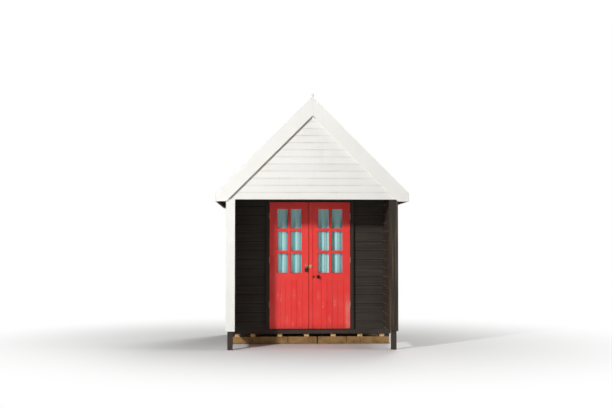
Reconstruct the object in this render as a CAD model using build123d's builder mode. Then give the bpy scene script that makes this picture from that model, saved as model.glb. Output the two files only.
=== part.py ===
"""A timber beach hut: one room behind a covered porch, under a 45 degree gable roof.

The hut stands on two rows of concrete blocks and on its two front posts.
X runs to the right, Y runs from the porch to the back, Z is up from the ground.
The origin lies on the ground, under the middle of the hut from finial to rear
bargeboards. Sizes are millimetres.
"""
import os
from math import cos, pi, sin, sqrt

from build123d import *

os.makedirs("parts", exist_ok=True)

# Overall form
hut_width = 2440
hut_length = 2730
porch_depth = 900
eaves_overhang = 160
slope_factor = sqrt(2)  # upright size of a layer on the 45 degree roof for each unit of depth

# Timber sections
post = 75
stud_width = 45
rail_height = 45
plate_height = 75
board_thick = 20
board_thin = 12
lining_thick = 16
lining_thin = 8
trim_thick = 20
trim_width = 128
trim_reveal = 4

# Base
mortar_thick = 10
mortar_margin = 10
block_height = 100
block_depth = 215
half_block_length = 201
block_joint = 4
wedge_joint = 16
block_row_inset = 3.5
joist_depth = 100
joist_width = 75
joist_pitch = 402
joist_shift = -48
inner_joists = 5
floor_thick = 18
skirt_height = 74
skirt_thick = 32
cheek_clearance = 260
trim_clearance = 263

# Cladding courses
wall_course = 132.6
gable_course = 101.6
first_wall_lap = 216.6
shortest_course = 15
gable_drop = 71

# Roof
barge_width = 195
barge_thick = 32
barge_end_height = 117
felt_thick = 4
deck_thick = 15
rafter_depth = 75
rafter_width = 45
birdsmouth_width = 25
ridge_board_width = 32
ridge_board_drop = 12
felt_below_barge = 10
fascia_thick = 20
tail_rise = 20
ridge_cap_reach = 150
porch_rafters = 2
room_rafters = 5
gable_stud_place = 450
side_studs = 3
rear_studs = 4
fit_gap = 1
seat_gap = 0.3
eaves_gap = 5
finial_neck = 34
finial_ball = 50
finial_rise = 46
ball_sides = 16
ball_rings = 8

# Doors
door_proud = 35
doorway_half = 611
leaf_thick = 44
leaf_height = 1896
leaf_gap = 5
meeting_place = -16
meeting_gap = 8
jamb_width = 50
head_space = 19
stop_width = 17
top_rail = 99
lower_panel_height = 727
lock_rail_height = 105
pane_bar = 33
pane_columns = 2
pane_rows = 3
glass_thick = 4
glass_rebate = 8
glass_cover = 18
left_glass_stiles = (110, 100)  # outer and inner stile beside the panes
right_glass_stiles = (112, 134)
left_board_stiles = (80, 90)  # outer and inner stile beside the boards
right_board_stiles = (98, 102)
door_boards = 5
door_board_thick = 18
board_recess = 2
groove_width = 5
groove_depth = 4
ledge_height = 120
strip_width = 54
strip_thick = 12

# Ironmongery
hinge_height = 90
low_hinge_rise = 362
high_hinge_drop = 207
hinge_flap = 2
hinge_flap_reach = 35
knuckle_radius = 5
knuckle_gap = 0.75
pin_radius = 2.5
pin_clearance = 0.3
pin_out = 6
plate_thick = 2
hasp_rise = 75
hasp_height = 47
hasp_margin = 2
hasp_reach = 46
hasp_knuckle = 4
staple_plate_reach = 49
staple_inset = 31
staple_rod = 5
staple_opening = 14
staple_reach = 17
padlock_width = 50
padlock_height = 52
padlock_depth = 20
shackle_rod = 6
shackle_width = 30
shackle_rise = 26
shackle_sides = 8
knob_inset = 136
knob_drop = 4.5
knob_ball = 54
knob_neck = 20
knob_reach = 60
rose_width = 50
rose_thick = 4
spindle_radius = 6
spindle_depth = 3
key_plate_inset = 70
key_plate_width = 26
key_plate_height = 34
key_hole = 7
key_slot = 4

# Curtains
rod_radius = 5
rod_drop = 45
rod_inset = 30
rod_bracket = 14
rod_bracket_height = 20
curtain_thick = 34
curtain_tail = 90
curtain_off_leaf = 5
curtain_end_gap = 6

# Places along and across the hut
finial_overhang = (finial_ball - barge_thick) / 2
y_front = (finial_overhang - hut_length) / 2
y_rear = y_front + hut_length
y_wall = y_front + porch_depth
x_face = hut_width / 2
eaves_reach = x_face + eaves_overhang
x_stud_out = x_face - board_thick
x_stud_in = x_stud_out - post
x_trim_out = x_face + trim_reveal
x_trim_in = x_trim_out - trim_width
y_frame_front = y_front + trim_thick
y_frame_rear = y_rear - board_thick
y_wall_back = y_wall + board_thick

# Heights of the floor
z_joist = mortar_thick + block_height
z_floor_under = z_joist + joist_depth
z_floor = z_floor_under + floor_thick
z_skirt = z_floor - skirt_height
z_stud = z_floor + rail_height

# Door places
y_leaf = y_wall - door_proud
y_leaf_back = y_leaf + leaf_thick
y_stop = y_leaf_back + leaf_gap
y_inside = y_wall_back + post
x_jamb = doorway_half
leaf_edge = x_jamb - leaf_gap
x_jamb_out = x_jamb + jamb_width
x_stop = x_jamb - stop_width
z_leaf = z_floor + leaf_gap
leaf_top = z_leaf + leaf_height
z_head = leaf_top + leaf_gap
z_head_top = z_head + jamb_width
left_leaf_inner = meeting_place - meeting_gap / 2
right_leaf_inner = meeting_place + meeting_gap / 2
x_pin = (leaf_edge + x_jamb) / 2
y_pin = y_leaf - pin_out
lock_rail_low = z_leaf + lower_panel_height
lock_rail_high = lock_rail_low + lock_rail_height
low_hinge = z_leaf + low_hinge_rise
high_hinge = leaf_top - high_hinge_drop
hinge_places = (low_hinge, (low_hinge + high_hinge) / 2, high_hinge)
rod_height = leaf_top - rod_drop
curtain_bottom = lock_rail_high - curtain_tail

# Heights of the wall plates and the gable
z_plate = z_head_top + head_space
z_seat = z_plate + plate_height
gable_bottom = z_plate - gable_drop

# Roof lines: the height of each sloping face where it would cross the middle of the hut
rafter_under_line = z_seat + x_stud_out - birdsmouth_width
rafter_line = rafter_under_line + rafter_depth * slope_factor
deck_line = rafter_line + deck_thick * slope_factor
felt_line = deck_line + felt_thick * slope_factor
cap_line = felt_line + felt_thick * slope_factor
ridge_top = felt_line + felt_below_barge * slope_factor
barge_under_line = ridge_top - barge_width * slope_factor
x_tail = eaves_reach - fascia_thick
fascia_bottom = ridge_top - eaves_reach - barge_end_height


def write(piece, name):
    """Label a finished piece and write it to its own file."""
    piece.part.label = name
    export_step(piece.part, f"parts/{name}.step")


def timber(x, y, z):
    """Add a square-edged solid between the low and high value of each pair."""
    x, y, z = sorted(x), sorted(y), sorted(z)
    with Locations(((x[0] + x[1]) / 2, (y[0] + y[1]) / 2, (z[0] + z[1]) / 2)):
        Box(x[1] - x[0], y[1] - y[0], z[1] - z[0])


def across(points, y_low, y_high, mode=Mode.ADD):
    """Add a solid with an outline in X and Z, from y_low to y_high."""
    with BuildSketch(Plane.XZ.offset(-y_low)) as outline:
        with BuildLine():
            Polyline(*points, close=True)
        make_face()
    extrude(outline.sketch, amount=y_low - y_high, mode=mode)


def along(points, x_low, x_high, mode=Mode.ADD):
    """Add a solid with an outline in Y and Z, from x_low to x_high."""
    with BuildSketch(Plane.YZ.offset(x_low)) as outline:
        with BuildLine():
            Polyline(*points, close=True)
        make_face()
    extrude(outline.sketch, amount=x_high - x_low, mode=mode)


def lapped(z_low, z_high, course, thick, thin, first_lap):
    """Section of lapped boards, as (thickness, height) corners from the bottom up."""
    corners = [(0, z_low), (thick, z_low)]
    board_start = z_low
    lap = first_lap
    while lap < z_high - shortest_course:
        if lap > z_low + shortest_course:
            corners += [(thin, lap), (thick, lap)]
            board_start = lap
        lap += course
    top_thick = thick - (thick - thin) * (z_high - board_start) / course
    corners += [(top_thick, z_high), (0, z_high)]
    return corners


def wall_laps(z_low, z_high):
    """Section of the wall boards between two heights."""
    return lapped(z_low, z_high, wall_course, board_thick, board_thin, first_wall_lap)


def ball(place, radius):
    """Add a ball of flat facets, in rings from one flat end to the other."""
    step = pi / ball_rings
    corner_radius = radius / cos(step / 2)
    corners = []
    for ring in range(ball_rings):
        down = (ring + 0.5) * step
        for side in range(ball_sides):
            around = side * 2 * pi / ball_sides
            outward = Vector(sin(down) * cos(around), sin(down) * sin(around), cos(down))
            corners.append(outward * corner_radius)
    with Locations(place):
        ConvexPolyhedron(corners)


def gable_outline(x_side, z_low, line):
    """Corners of a gable: upright sides and two 45 degree slopes under a roof line."""
    return [
        (-x_side, z_low),
        (x_side, z_low),
        (x_side, line - x_side),
        (0, line),
        (-x_side, line - x_side),
    ]


# Base: blocks in mortar under the front wall and the rear wall
front_block_row = (y_wall_back, y_wall_back + block_depth)
rear_block_row = (y_frame_rear - block_depth, y_frame_rear)
block_row_end = x_stud_out - block_row_inset
block_row_start = -block_row_end
whole_blocks = 5
joints_length = 4 * block_joint + wedge_joint
block_length = (
    block_row_end - block_row_start - joints_length - half_block_length
) / whole_blocks
block_lengths = (
    (block_length, block_joint),
    (block_length, block_joint),
    (block_length, wedge_joint),
    (block_length, block_joint),
    (half_block_length, block_joint),
    (block_length, 0),
)

with BuildPart() as mortar_beds:
    for row in (front_block_row, rear_block_row):
        timber(
            (block_row_start - mortar_margin, block_row_end + mortar_margin),
            (row[0] - mortar_margin, row[1] + mortar_margin),
            (0, mortar_thick),
        )
write(mortar_beds, "mortar_beds")

with BuildPart() as foundation_blocks:
    for row in (front_block_row, rear_block_row):
        x_block = block_row_start
        for length, joint in block_lengths:
            timber((x_block, x_block + length), row, (mortar_thick, z_joist))
            x_block += length + joint
write(foundation_blocks, "foundation_blocks")

# Floor
joist_places = [
    joist_shift + joist_pitch * (count - (inner_joists - 1) / 2) for count in range(inner_joists)
]
edge_joist = x_stud_in - joist_width / 2

with BuildPart() as floor_joists:
    for x_joist in [-edge_joist] + joist_places + [edge_joist]:
        timber(
            (x_joist - joist_width / 2, x_joist + joist_width / 2),
            (y_wall_back, y_frame_rear),
            (z_joist, z_floor_under),
        )
write(floor_joists, "floor_joists")

with BuildPart() as side_bearers:
    for side in (-1, 1):
        timber(
            (side * x_stud_in, side * x_stud_out),
            (y_wall_back, y_frame_rear),
            (z_joist, z_floor_under),
        )
write(side_bearers, "side_bearers")

with BuildPart() as floor_deck:
    timber((-x_stud_out, x_stud_out), (y_wall_back, y_frame_rear), (z_floor_under, z_floor))
write(floor_deck, "floor_deck")

with BuildPart() as front_skirt_board:
    timber((-x_stud_out, x_stud_out), (y_wall_back - skirt_thick, y_wall_back), (z_skirt, z_floor))
write(front_skirt_board, "front_skirt_board")

# Wall framing
with BuildPart() as front_posts:
    for side in (-1, 1):
        timber(
            (side * x_stud_in, side * x_stud_out),
            (y_frame_front, y_frame_front + post),
            (0, z_plate),
        )
write(front_posts, "front_posts")

with BuildPart() as side_sole_plates:
    for side in (-1, 1):
        timber(
            (side * x_stud_in, side * x_stud_out),
            (y_wall_back, y_frame_rear),
            (z_floor, z_stud),
        )
write(side_sole_plates, "side_sole_plates")

with BuildPart() as cross_sole_plates:
    timber((-x_stud_in, x_stud_in), (y_frame_rear - post, y_frame_rear), (z_floor, z_stud))
    for side in (-1, 1):
        timber((side * x_jamb_out, side * x_stud_in), (y_wall_back, y_inside), (z_floor, z_stud))
write(cross_sole_plates, "cross_sole_plates")

with BuildPart() as porch_bottom_rails:
    for side in (-1, 1):
        timber(
            (side * x_stud_in, side * x_stud_out),
            (y_frame_front + post, y_wall_back),
            (cheek_clearance, cheek_clearance + rail_height),
        )
write(porch_bottom_rails, "porch_bottom_rails")

room_length = y_frame_rear - post - y_inside
side_stud_places = [
    y_inside + room_length * (count + 1) / (side_studs + 1) for count in range(side_studs)
]
rear_stud_pitch = 2 * x_stud_in / (rear_studs + 1)
rear_stud_places = [-x_stud_in + rear_stud_pitch * (count + 1) for count in range(rear_studs)]
porch_stud_place = (y_frame_front + post + y_wall_back) / 2

with BuildPart() as wall_studs:
    for side in (-1, 1):
        x_stud = (side * x_stud_in, side * x_stud_out)
        timber(x_stud, (y_wall_back, y_inside), (z_stud, z_plate))
        timber(x_stud, (y_frame_rear - post, y_frame_rear), (z_stud, z_plate))
        for place in side_stud_places:
            timber(x_stud, (place - stud_width / 2, place + stud_width / 2), (z_stud, z_plate))
        timber(
            x_stud,
            (porch_stud_place - stud_width / 2, porch_stud_place + stud_width / 2),
            (cheek_clearance + rail_height, z_plate),
        )
        timber(
            (side * x_jamb_out, side * (x_jamb_out + stud_width)),
            (y_wall_back, y_inside),
            (z_stud, z_plate),
        )
    for place in rear_stud_places:
        timber(
            (place - stud_width / 2, place + stud_width / 2),
            (y_frame_rear - post, y_frame_rear),
            (z_stud, z_plate),
        )
write(wall_studs, "wall_studs")

with BuildPart() as wall_plates:
    for side in (-1, 1):
        timber(
            (side * x_stud_in, side * x_stud_out),
            (y_frame_front, y_frame_rear),
            (z_plate, z_seat),
        )
write(wall_plates, "wall_plates")

with BuildPart() as tie_beams:
    timber(
        (-x_stud_in, x_stud_in),
        (y_frame_front, y_frame_front + post),
        (gable_bottom, gable_bottom + plate_height),
    )
    timber((-x_stud_in, x_stud_in), (y_wall_back, y_inside), (z_plate, z_seat))
    timber((-x_stud_in, x_stud_in), (y_frame_rear - post, y_frame_rear), (z_plate, z_seat))
write(tie_beams, "tie_beams")

# Gable studs stand on the tie beams and meet the rafters on their sloping undersides
with BuildPart() as gable_studs:
    frames = (
        (y_frame_front, gable_bottom + plate_height),
        (y_wall_back, z_seat),
        (y_frame_rear - post, z_seat),
    )
    for y_low, z_low in frames:
        for side in (-1, 1):
            x_near = gable_stud_place - stud_width / 2
            x_far = gable_stud_place + stud_width / 2
            across(
                [
                    (side * x_near, z_low),
                    (side * x_far, z_low),
                    (side * x_far, rafter_under_line - x_far),
                    (side * x_near, rafter_under_line - x_near),
                ],
                y_low,
                y_low + post,
            )
write(gable_studs, "gable_studs")

# Roof timbers: each rafter has a plumb cut at the ridge, a birdsmouth over
# the wall plate and a tail cut level above the fascia's lower edge
y_first_rafter = y_frame_front + rafter_width / 2
y_wall_rafter = y_wall_back + rafter_width / 2
y_last_rafter = y_frame_rear - rafter_width / 2
porch_rafter_pitch = (y_wall_rafter - y_first_rafter) / porch_rafters
room_rafter_pitch = (y_last_rafter - y_wall_rafter) / (room_rafters - 1)
rafter_places = [y_first_rafter + porch_rafter_pitch * step for step in range(porch_rafters)]
rafter_places += [y_wall_rafter + room_rafter_pitch * step for step in range(room_rafters)]
x_ridge = ridge_board_width / 2
z_tail = fascia_bottom + tail_rise


def rafter(side, place):
    """One rafter: a sloping timber, less its birdsmouth and the level cut of its tail."""
    y_low, y_high = place - rafter_width / 2, place + rafter_width / 2
    across(
        [
            (side * x_ridge, rafter_line - x_ridge),
            (side * x_tail, rafter_line - x_tail),
            (side * x_tail, rafter_under_line - x_tail),
            (side * x_ridge, rafter_under_line - x_ridge),
        ],
        y_low,
        y_high,
    )
    birdsmouth = [
        (side * x_stud_in, z_plate),
        (side * x_stud_out, z_plate),
        (side * x_stud_out, z_seat),
        (side * x_stud_in, z_seat),
    ]
    across(birdsmouth, y_low, y_high, mode=Mode.SUBTRACT)
    under_tail = [
        (side * x_stud_out, z_tail),
        (side * (x_tail + fit_gap), z_tail),
        (side * (x_tail + fit_gap), z_tail - rafter_depth),
        (side * x_stud_out, z_tail - rafter_depth),
    ]
    across(under_tail, y_low, y_high, mode=Mode.SUBTRACT)


with BuildPart() as rafters:
    for place in rafter_places:
        for side in (-1, 1):
            rafter(side, place)
write(rafters, "rafters")

z_ridge_board = rafter_under_line - x_ridge - ridge_board_drop
with BuildPart() as ridge_board:
    timber(
        (-x_ridge, x_ridge),
        (y_frame_front, y_frame_rear),
        (z_ridge_board, rafter_line - x_ridge),
    )
write(ridge_board, "ridge_board")


def slope(line_low, line_high, side):
    """Outline of a layer of one roof slope, from the ridge to the eaves."""
    return [
        (0, line_low),
        (side * eaves_reach, line_low - eaves_reach),
        (side * eaves_reach, line_high - eaves_reach),
        (0, line_high),
    ]


for side, side_name in ((-1, "left"), (1, "right")):
    with BuildPart() as roof_deck:
        across(slope(rafter_line, deck_line, side), y_front, y_rear)
    write(roof_deck, f"roof_deck_{side_name}")
    with BuildPart() as roof_felt:
        across(slope(deck_line, felt_line, side), y_front, y_rear)
    write(roof_felt, f"roof_felt_{side_name}")

with BuildPart() as ridge_cap:
    across(
        [
            (0, felt_line),
            (ridge_cap_reach, felt_line - ridge_cap_reach),
            (ridge_cap_reach, cap_line - ridge_cap_reach),
            (0, cap_line),
            (-ridge_cap_reach, cap_line - ridge_cap_reach),
            (-ridge_cap_reach, felt_line - ridge_cap_reach),
        ],
        y_front,
        y_rear,
    )
write(ridge_cap, "ridge_cap")

with BuildPart() as eaves_fascias:
    for side in (-1, 1):
        across(
            [
                (side * x_tail, fascia_bottom),
                (side * eaves_reach, fascia_bottom),
                (side * eaves_reach, rafter_line - eaves_reach),
                (side * x_tail, rafter_line - x_tail),
            ],
            y_front,
            y_rear,
        )
write(eaves_fascias, "eaves_fascias")


def bargeboard(side, joint=0):
    """Outline of one bargeboard, with plumb ends and a level cut under the eaves."""
    return [
        (side * joint, barge_under_line - joint),
        (side * joint, ridge_top - joint),
        (side * eaves_reach, ridge_top - eaves_reach),
        (side * eaves_reach, fascia_bottom),
        (side * (barge_under_line - fascia_bottom), fascia_bottom),
    ]


for side, side_name in ((-1, "left"), (1, "right")):
    with BuildPart() as bargeboard_front:
        across(bargeboard(side), y_front - barge_thick, y_front)
    write(bargeboard_front, f"bargeboard_front_{side_name}")

with BuildPart() as rear_bargeboards:
    for side in (-1, 1):
        across(bargeboard(side, fit_gap / 2), y_rear, y_rear + barge_thick)
write(rear_bargeboards, "rear_bargeboards")

# Finial: a ball on a round neck, cut to sit over the apex of the bargeboards
ball_radius = finial_ball / 2
z_ball = ridge_top + finial_rise - ball_radius
neck_low = ridge_top - finial_neck
y_finial = y_front - barge_thick / 2
with BuildPart() as finial:
    with BuildSketch(Plane.XY.offset(neck_low)):
        with Locations((0, y_finial)):
            Circle(finial_neck / 2)
    extrude(amount=z_ball - neck_low)
    ball(Plane((0, y_finial, z_ball)), ball_radius)
    across(
        [
            (0, ridge_top),
            (finial_neck, ridge_top - finial_neck),
            (finial_neck, neck_low - finial_neck),
            (-finial_neck, neck_low - finial_neck),
            (-finial_neck, ridge_top - finial_neck),
        ],
        y_finial - finial_neck,
        y_finial + finial_neck,
        mode=Mode.SUBTRACT,
    )
write(finial, "finial")

# Outside boards
gable_section = lapped(
    gable_bottom,
    rafter_line,
    gable_course,
    board_thick,
    board_thin,
    gable_bottom + gable_course,
)
with BuildPart() as front_gable_cladding:
    along([(y_frame_front - t, z) for t, z in gable_section], -x_trim_out, x_trim_out)
    across(
        gable_outline(x_trim_out, gable_bottom, rafter_line),
        y_front,
        y_frame_front,
        mode=Mode.INTERSECT,
    )
write(front_gable_cladding, "front_gable_cladding")

for side, side_name in ((-1, "left"), (1, "right")):
    with BuildPart() as corner_trim:
        timber(
            (side * x_trim_in, side * x_trim_out),
            (y_front, y_frame_front),
            (trim_clearance, gable_bottom),
        )
    write(corner_trim, f"{side_name}_corner_trim")

with BuildPart() as rear_corner_trims:
    for side in (-1, 1):
        timber(
            (side * x_trim_in, side * x_trim_out),
            (y_frame_rear, y_rear),
            (z_skirt, gable_bottom),
        )
write(rear_corner_trims, "rear_corner_trims")

# The side boards are butt jointed at the front wall, where their lower edge steps up
z_side_top = rafter_under_line - x_face - eaves_gap
for side, side_name in ((-1, "left"), (1, "right")):
    with BuildPart() as side_cladding:
        room_section = wall_laps(z_skirt, z_side_top)
        porch_section = wall_laps(cheek_clearance, z_side_top)
        for section, y_low, y_high in (
            (porch_section, y_frame_front, y_wall),
            (room_section, y_wall + fit_gap, y_frame_rear),
        ):
            across([(side * (x_stud_out + t), z) for t, z in section], y_low, y_high)
    write(side_cladding, f"{side_name}_side_cladding")

with BuildPart() as rear_cladding:
    rear_section = wall_laps(z_skirt, rafter_line)
    along([(y_frame_rear + t, z) for t, z in rear_section], -x_trim_out, x_trim_out)
    across(
        [
            (-x_trim_in, z_skirt),
            (x_trim_in, z_skirt),
            (x_trim_in, gable_bottom),
            (x_trim_out, gable_bottom),
            (x_trim_out, rafter_line - x_trim_out),
            (0, rafter_line),
            (-x_trim_out, rafter_line - x_trim_out),
            (-x_trim_out, gable_bottom),
            (-x_trim_in, gable_bottom),
        ],
        y_frame_rear,
        y_rear,
        mode=Mode.INTERSECT,
    )
write(rear_cladding, "rear_cladding")

# Porch linings, on the inside of the two cheeks
lining_section = lapped(
    cheek_clearance, gable_bottom, wall_course, lining_thick, lining_thin, first_wall_lap
)
for side, side_name in ((-1, "left"), (1, "right")):
    with BuildPart() as porch_lining:
        across([(side * (x_stud_in - t), z) for t, z in lining_section], y_frame_front, y_wall)
    write(porch_lining, f"{side_name}_porch_lining")

# Front wall of the room, beside and over the doorway
beside_section = [(y_wall_back - t, z) for t, z in wall_laps(z_floor, z_head_top)]
with BuildPart() as front_cladding_left:
    along(beside_section, -x_stud_in, -x_jamb_out)
write(front_cladding_left, "front_cladding_left")

with BuildPart() as front_cladding_right:
    along(beside_section, x_jamb_out, x_stud_in)
write(front_cladding_right, "front_cladding_right")

over_section = [(y_wall_back - t, z) for t, z in wall_laps(z_head_top, rafter_line)]
with BuildPart() as front_cladding_over:
    along(over_section, -x_stud_in, x_stud_in)
    across(
        gable_outline(x_stud_in, z_head_top, rafter_line),
        y_wall,
        y_wall_back,
        mode=Mode.INTERSECT,
    )
    across(
        [
            (-x_ridge - fit_gap, z_ridge_board - fit_gap),
            (x_ridge + fit_gap, z_ridge_board - fit_gap),
            (x_ridge + fit_gap, rafter_line),
            (-x_ridge - fit_gap, rafter_line),
        ],
        y_wall,
        y_wall_back,
        mode=Mode.SUBTRACT,
    )
write(front_cladding_over, "front_cladding_over")

# Door frame, with planted stops behind the leaves
with BuildPart() as door_frame:
    for side in (-1, 1):
        timber((side * x_jamb, side * x_jamb_out), (y_leaf, y_inside), (z_floor, z_head_top))
    timber((-x_jamb + fit_gap, x_jamb - fit_gap), (y_leaf, y_inside), (z_head, z_head_top))
write(door_frame, "door_frame")

with BuildPart() as door_stops:
    for side in (-1, 1):
        timber((side * x_stop, side * x_jamb), (y_stop, y_inside), (z_floor, z_head - fit_gap))
    timber(
        (-x_stop + fit_gap, x_stop - fit_gap), (y_stop, y_inside), (z_head - stop_width, z_head)
    )
write(door_stops, "door_stops")

# Door leaves
pane_z = (lock_rail_high, leaf_top - top_rail)
pane_height = (pane_z[1] - pane_z[0] - (pane_rows - 1) * pane_bar) / pane_rows
y_glass = y_leaf + glass_cover


def between_stiles(outer, inner, stiles):
    """Low and high X of the space between a leaf's outer and inner stile."""
    inward = 1 if inner > outer else -1
    edges = (outer + inward * stiles[0], inner - inward * stiles[1])
    return min(edges), max(edges)


def panes(field, margin, y_low, y_high, mode=Mode.ADD):
    """Add or cut the rectangles of one leaf's panes, each larger by a margin."""
    width = (field[1] - field[0] - (pane_columns - 1) * pane_bar) / pane_columns
    middle = ((field[0] + field[1]) / 2, (pane_z[0] + pane_z[1]) / 2)
    with BuildSketch(Plane.XZ.offset(-y_low)) as pane_grid:
        with Locations(middle):
            with GridLocations(width + pane_bar, pane_height + pane_bar, pane_columns, pane_rows):
                Rectangle(width + 2 * margin, pane_height + 2 * margin)
    extrude(pane_grid.sketch, amount=y_low - y_high, mode=mode)


def leaf_frame(outer, inner, glass_field, board_field):
    """Stiles, rails and glazing bars of one leaf, rebated behind for its panes."""
    x_low, x_high = min(outer, inner), max(outer, inner)
    timber((x_low, x_high), (y_leaf, y_leaf_back), (z_leaf, leaf_top))
    panes(glass_field, 0, y_leaf, y_leaf_back, mode=Mode.SUBTRACT)
    panes(glass_field, glass_rebate, y_glass, y_leaf_back, mode=Mode.SUBTRACT)
    y_ledge = y_leaf + board_recess + door_board_thick
    board_middle = (board_field[0] + board_field[1]) / 2
    board_width = board_field[1] - board_field[0]
    with BuildSketch(Plane.XZ.offset(-y_leaf)) as board_space:
        with Locations((board_middle, (z_leaf + lock_rail_low) / 2)):
            Rectangle(board_width, lock_rail_low - z_leaf)
    extrude(board_space.sketch, amount=y_leaf - y_ledge, mode=Mode.SUBTRACT)
    z_ledge = z_leaf + ledge_height
    with BuildSketch(Plane.XZ.offset(-y_ledge)) as back_space:
        with Locations((board_middle, (z_ledge + lock_rail_low) / 2)):
            Rectangle(board_width, lock_rail_low - z_ledge)
    extrude(back_space.sketch, amount=y_ledge - y_leaf_back, mode=Mode.SUBTRACT)


def leaf_boards(board_field):
    """Upright matched boards of a leaf's lower half, with a groove at each joint."""
    y_board = y_leaf + board_recess
    pitch = (board_field[1] - board_field[0]) / door_boards
    corners = [(board_field[0], y_board)]
    for joint in range(1, door_boards):
        x_joint = board_field[0] + pitch * joint
        corners += [
            (x_joint - groove_width / 2, y_board),
            (x_joint, y_board + groove_depth),
            (x_joint + groove_width / 2, y_board),
        ]
    corners += [
        (board_field[1], y_board),
        (board_field[1], y_board + door_board_thick),
        (board_field[0], y_board + door_board_thick),
    ]
    with BuildSketch(Plane.XY.offset(z_leaf)) as board_section:
        with BuildLine():
            Polyline(*corners, close=True)
        make_face()
    extrude(board_section.sketch, amount=lock_rail_low - z_leaf)


def curtain_rod(x_low, x_high):
    """A round rod between two brackets on the inside of a leaf's top rail."""
    y_rod = y_leaf_back + curtain_off_leaf + curtain_thick / 2
    with BuildSketch(Plane.YZ.offset(x_low)) as rod_section:
        with Locations((y_rod, rod_height)):
            Circle(rod_radius)
    extrude(rod_section.sketch, amount=x_high - x_low)
    for x_bracket in (x_low, x_high - rod_bracket):
        timber(
            (x_bracket, x_bracket + rod_bracket),
            (y_leaf_back, y_rod + rod_radius),
            (rod_height - rod_bracket_height / 2, rod_height + rod_bracket_height / 2),
        )


leaves = (
    ("left", -leaf_edge, left_leaf_inner, left_glass_stiles, left_board_stiles),
    ("right", leaf_edge, right_leaf_inner, right_glass_stiles, right_board_stiles),
)
for side_name, outer, inner, glass_stiles, board_stiles in leaves:
    glass_field = between_stiles(outer, inner, glass_stiles)
    board_field = between_stiles(outer, inner, board_stiles)
    rod_low = min(outer, inner) + rod_inset
    rod_high = max(outer, inner) - rod_inset
    with BuildPart() as door_leaf:
        leaf_frame(outer, inner, glass_field, board_field)
    write(door_leaf, f"{side_name}_door_frame")
    with BuildPart() as door_boarding:
        leaf_boards(board_field)
    write(door_boarding, f"{side_name}_door_boards")
    with BuildPart() as door_glass:
        panes(glass_field, glass_rebate, y_glass, y_glass + glass_thick)
    write(door_glass, f"{side_name}_door_glass")
    with BuildPart() as rod:
        curtain_rod(rod_low, rod_high)
    write(rod, f"{side_name}_curtain_rod")
    with BuildPart() as curtain:
        timber(
            (rod_low + rod_bracket + curtain_end_gap, rod_high - rod_bracket - curtain_end_gap),
            (y_leaf_back + curtain_off_leaf, y_leaf_back + curtain_off_leaf + curtain_thick),
            (curtain_bottom, rod_height - rod_radius - seat_gap),
        )
    write(curtain, f"{side_name}_curtain")

with BuildPart() as meeting_strip:
    timber(
        (right_leaf_inner, right_leaf_inner + strip_width),
        (y_leaf - strip_thick, y_leaf),
        (z_leaf, leaf_top),
    )
write(meeting_strip, "meeting_strip")

# Butt hinges: the frame's half has the end knuckles and the pin,
# the leaf's half has the middle knuckle
knuckle_height = (hinge_height - 2 * knuckle_gap) / 3


def knuckle(x, z_low, radius, bore=0.0):
    """One round knuckle standing on z_low, bored if it turns on the pin."""
    with BuildSketch(Plane.XY.offset(z_low)) as ring:
        with Locations((x, y_pin)):
            Circle(radius)
            if bore:
                Circle(bore, mode=Mode.SUBTRACT)
    extrude(ring.sketch, amount=knuckle_height)


with BuildPart() as frame_hinges:
    for side in (-1, 1):
        flap = (side * x_jamb, side * (x_jamb - hinge_flap))
        for place in hinge_places:
            z_low = place - hinge_height / 2
            z_top_knuckle = z_low + hinge_height - knuckle_height
            timber(flap, (y_leaf, y_leaf + hinge_flap_reach), (z_low, z_low + hinge_height))
            for z_knuckle in (z_low, z_top_knuckle):
                knuckle(side * x_pin, z_knuckle, knuckle_radius)
                timber(flap, (y_pin, y_leaf), (z_knuckle, z_knuckle + knuckle_height))
            with BuildSketch(Plane.XY.offset(z_low)):
                with Locations((side * x_pin, y_pin)):
                    Circle(pin_radius)
            extrude(amount=hinge_height)
write(frame_hinges, "frame_hinges")

for side, side_name in ((-1, "left"), (1, "right")):
    with BuildPart() as door_hinges:
        flap = (side * leaf_edge, side * (leaf_edge + hinge_flap))
        for place in hinge_places:
            z_low = place - hinge_height / 2
            z_knuckle = z_low + knuckle_height + knuckle_gap
            timber(flap, (y_leaf, y_leaf + hinge_flap_reach), (z_low, z_low + hinge_height))
            timber(flap, (y_pin, y_leaf), (z_knuckle, z_knuckle + knuckle_height))
            knuckle(side * x_pin, z_knuckle, knuckle_radius)
            with Locations((side * x_pin, y_pin, z_knuckle + knuckle_height / 2)):
                Cylinder(pin_radius + pin_clearance, knuckle_height, mode=Mode.SUBTRACT)
    write(door_hinges, f"{side_name}_door_hinges")

# Hasp and staple: the staple's plate is on the left leaf and the hasp on the strip
hasp_bottom = lock_rail_high + hasp_rise
hasp_top = hasp_bottom + hasp_height
hasp_middle = (hasp_bottom + hasp_top) / 2
hasp_right = right_leaf_inner + hasp_reach
staple_x = left_leaf_inner - staple_inset
y_strip = y_leaf - strip_thick
y_staple = y_leaf - plate_thick
y_shackle = y_staple - staple_reach / 2

with BuildPart() as padlock_staple:
    timber(
        (left_leaf_inner - staple_plate_reach, left_leaf_inner - hasp_margin),
        (y_staple, y_leaf),
        (hasp_bottom, hasp_top),
    )
    with BuildSketch(Plane.YZ.offset(staple_x - staple_rod / 2)):
        with Locations((y_staple - staple_reach / 2, hasp_middle)):
            Rectangle(staple_reach, staple_opening + 2 * staple_rod)
        with Locations((y_staple - (staple_reach - staple_rod) / 2, hasp_middle)):
            Rectangle(staple_reach - staple_rod, staple_opening, mode=Mode.SUBTRACT)
    extrude(amount=staple_rod)
write(padlock_staple, "padlock_staple")

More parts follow.
